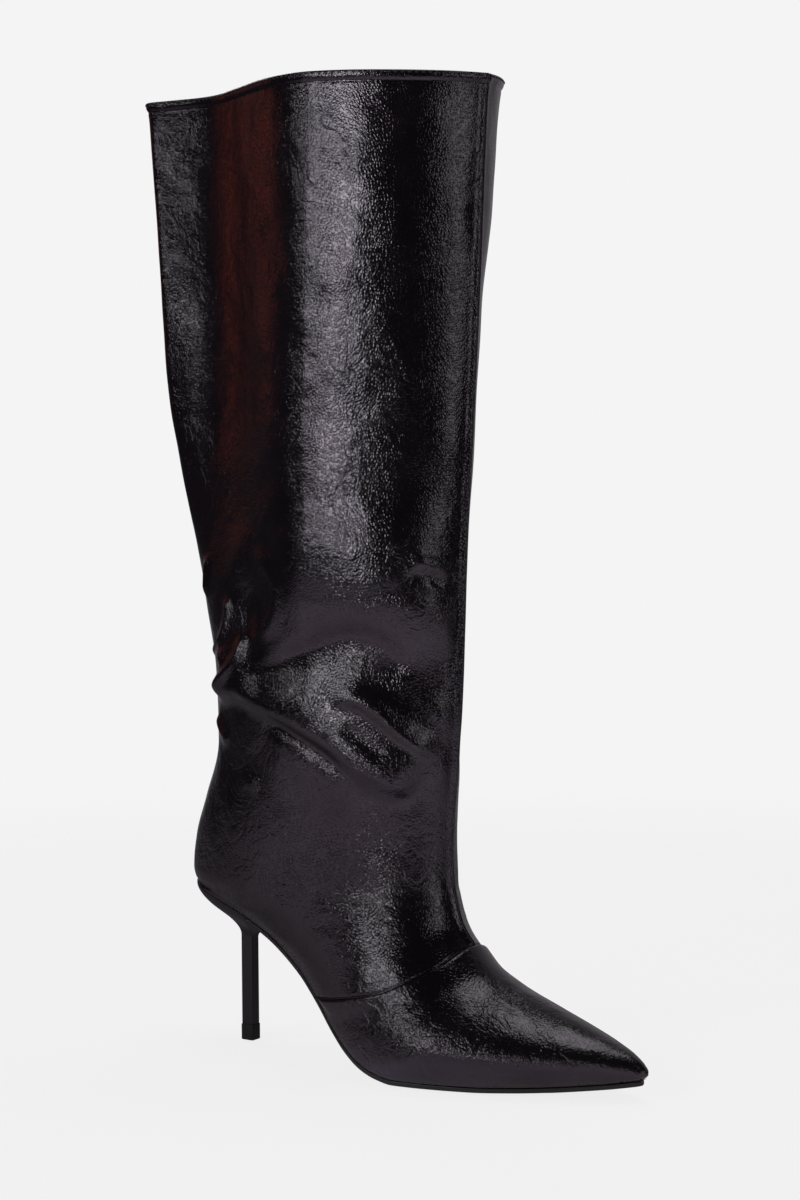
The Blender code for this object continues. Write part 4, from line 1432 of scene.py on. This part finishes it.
@dataclass
class Studio:
    """Floor, backdrop, lights and camera."""

    paper: float = 0.905
    floor_lit: float = 0.09
    floor_fade: tuple[float, float] = (0.55, 1.0)
    key_radiance: float = 7.6
    key_turn: float = -75.0
    key_spread: float = 9.5
    key_edges: tuple[tuple[float, float], ...] = ((1.2, 0.19), (6.0, 1.2))
    wall_turn: float = 97.0
    boxes: tuple[Softbox, ...] = (
        Softbox("key_side", -102.0, 1.2, 0.28, 0.85, 0.34, 4.2),
        Softbox("front_strip", -4.0, 1.6, 0.12, 1.0, 0.44, 1.4),
        Softbox("back_strip", -131.0, 1.7, 0.56, 1.5, 0.16, 5.2),
        Softbox("warm_card", 176.0, 1.5, 0.38, 0.75, 0.32, 0.34, (1.0, 0.15, 0.06)),
        Softbox("rear_high", 150.0, 1.5, 0.9, 1.5, 0.5, 3.0),
    )

    def build_world(self) -> None:
        """A pale backdrop for the camera and a dark studio with a pale wall for reflections."""
        world = bpy.data.worlds.new("studio")
        bpy.context.scene.world = world
        world.use_nodes = True
        maker = TreeMaker(world.node_tree)
        wall = math.radians(self.wall_turn)
        place = maker.node("ShaderNodeTexCoord", {}, {}, "Generated")
        toward = maker.along(place, (math.cos(wall), math.sin(wall), 0.0))
        light = {"Color": (0.97, 0.93, 1.0, 1.0), "Strength": toward.between(0.45, 0.85, 0.03, 0.3)}
        studio = maker.node("ShaderNodeBackground", {}, light)
        backdrop = maker.tree.nodes["Background"]
        maker.feed(backdrop.inputs["Color"], (self.paper, self.paper, self.paper, 1.0))
        seen = maker.node("ShaderNodeLightPath", {}, {}, "Is Camera Ray")
        sides = {0: seen, 1: studio, 2: Signal(maker, backdrop.outputs[0])}
        maker.show("World Output", maker.node("ShaderNodeMixShader", {}, sides))

    @staticmethod
    def sheet(places: list[list[tuple[float, float, float]]]) -> Mesher:
        """One flat face through four places of the frame, in metres."""
        mesh = Mesher()
        mesh.quads(mesh.add(np.array(places) / MM + (ORIGIN_X, 0.0, 0.0)))
        return mesh

    def build_floor(self) -> None:
        """A pale paper floor that fades into the backdrop; in reflections it glows with painted light, dim
        under and behind the boot as a painted shadow, brighter in front of it and uneven at random.
        """
        maker = MaterialMaker("paper_floor")
        maker.set(Base_Color=(0.2, 0.19, 0.205, 1.0), Roughness=1.0, Specular_IOR_Level=0.0)
        maker.set(Emission_Color=(1.0, 1.0, 1.0, 1.0), Emission_Strength=self.paper - self.floor_lit)
        away = maker.node("ShaderNodeVectorMath", {"operation": "LENGTH"}, {0: maker.place}, "Value")
        # painted light and shade: the floor's glow in reflections is dim under and behind the boot, like its
        # shadow, and brighter in front of it
        front = maker.along(maker.place, (0.47, -0.88, 0.0))
        painted_glow = 0.15 + front.between(-0.14, 0.3) * 0.55
        uneven = maker.noise(9.0, 2.0, 0.5).between(0.3, 0.7)
        cloud = maker.noise(7.0, 1.0, 0.5, 0.4).between(0.35, 0.65)
        light = {
            "Color": maker.mix(cloud, (1.0, 0.88, 0.9), (0.93, 0.86, 1.0)),
            "Strength": painted_glow * (0.55 + uneven * 0.8),
        }
        soft = maker.node("ShaderNodeEmission", {}, light)
        seen = maker.node("ShaderNodeLightPath", {}, {}, "Is Camera Ray")
        paper = Signal(maker, maker.shader.outputs[0])
        near = maker.node("ShaderNodeMixShader", {}, {0: seen, 1: soft, 2: paper})
        clear = maker.node("ShaderNodeBsdfTransparent", {}, {})
        fade = {0: away.between(*self.floor_fade), 1: near, 2: clear}
        maker.show("Material Output", maker.node("ShaderNodeMixShader", {}, fade))
        size = 3.2
        mesh = self.sheet([[(x, y, 0.0) for y in (-size, size)] for x in (-size, size)])
        floor = mesh.build("floor", maker.material)
        floor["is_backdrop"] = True

    def build_key(self) -> None:
        """A long light panel that leans back from a low near edge.

        The shaft sees all of it, and the ankle and the toe only a sliver.
        """
        turns = [math.radians(self.key_turn + way * self.key_spread) for way in (-1, 1)]
        places = [
            [(reach * math.cos(turn), reach * math.sin(turn), height) for turn in turns]
            for reach, height in self.key_edges
        ]
        maker = MaterialMaker("key_light")
        light = {"Color": (1.0, 1.0, 1.0, 1.0), "Strength": self.key_radiance}
        maker.show("Material Output", maker.node("ShaderNodeEmission", {}, light))
        panel = self.sheet(places).build("key", maker.material)
        panel.visible_camera = False
        panel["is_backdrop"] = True

    def build_camera(self) -> None:
        """The camera in front of the outer side."""
        aim, pitch, roll = math.radians(34.36), math.radians(3.93), math.radians(-0.31)
        ahead = Vector((-math.sin(aim), math.cos(aim), 0.0))
        side = Vector((math.cos(aim), math.sin(aim), 0.0))
        up = Vector((0.0, 0.0, 1.0))
        forward = ahead * math.cos(pitch) - up * math.sin(pitch)
        upright = up * math.cos(pitch) + ahead * math.sin(pitch)
        right = side * math.cos(roll) + upright * math.sin(roll)
        top = upright * math.cos(roll) - side * math.sin(roll)
        camera = bpy.data.cameras.new("camera")
        camera.sensor_fit = "VERTICAL"
        camera.sensor_height = 36.0
        camera.sensor_width = 36.0
        camera.lens = 78.74
        obj = bpy.data.objects.new("camera", camera)
        turned = Matrix((right, top, -forward)).transposed().to_4x4()
        obj.matrix_world = Matrix.Translation((0.7072, -1.0234, 0.3077)) @ turned
        bpy.context.scene.collection.objects.link(obj)
        bpy.context.scene.camera = obj

    def build(self) -> None:
        """Sets the stage."""
        self.build_world()
        self.build_floor()
        self.build_key()
        self.build_camera()
        for box in self.boxes:
            box.build()
        over = Matrix.Translation((0.1, 0.28, 1.7))
        hang_light("top", (0.9, 0.9), 2.0, (1.0, 1.0, 1.0), over)
        bpy.context.scene.view_settings.view_transform = "Standard"


def corners() -> list[list[float]]:
    """The shown object's box as plain lists."""
    return [list(corner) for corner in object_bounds()]


def main() -> None:
    """Builds the boot over the frame."""
    logging.basicConfig(level=logging.INFO, format="%(name)s: %(message)s")
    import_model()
    sole = SoleLine()
    upper = Upper(Leather(sole), Relief())
    upper.build_shaft()
    upper.build_lining()
    upper.build_vamp()
    HemStitches(upper).build()
    bottom = Bottom(sole)
    bottom.build_outsole()
    bottom.build_insole()
    bottom.build_heel()
    bottom.build_tip()
    Studio().build()


if __name__ == "__main__":
    main()
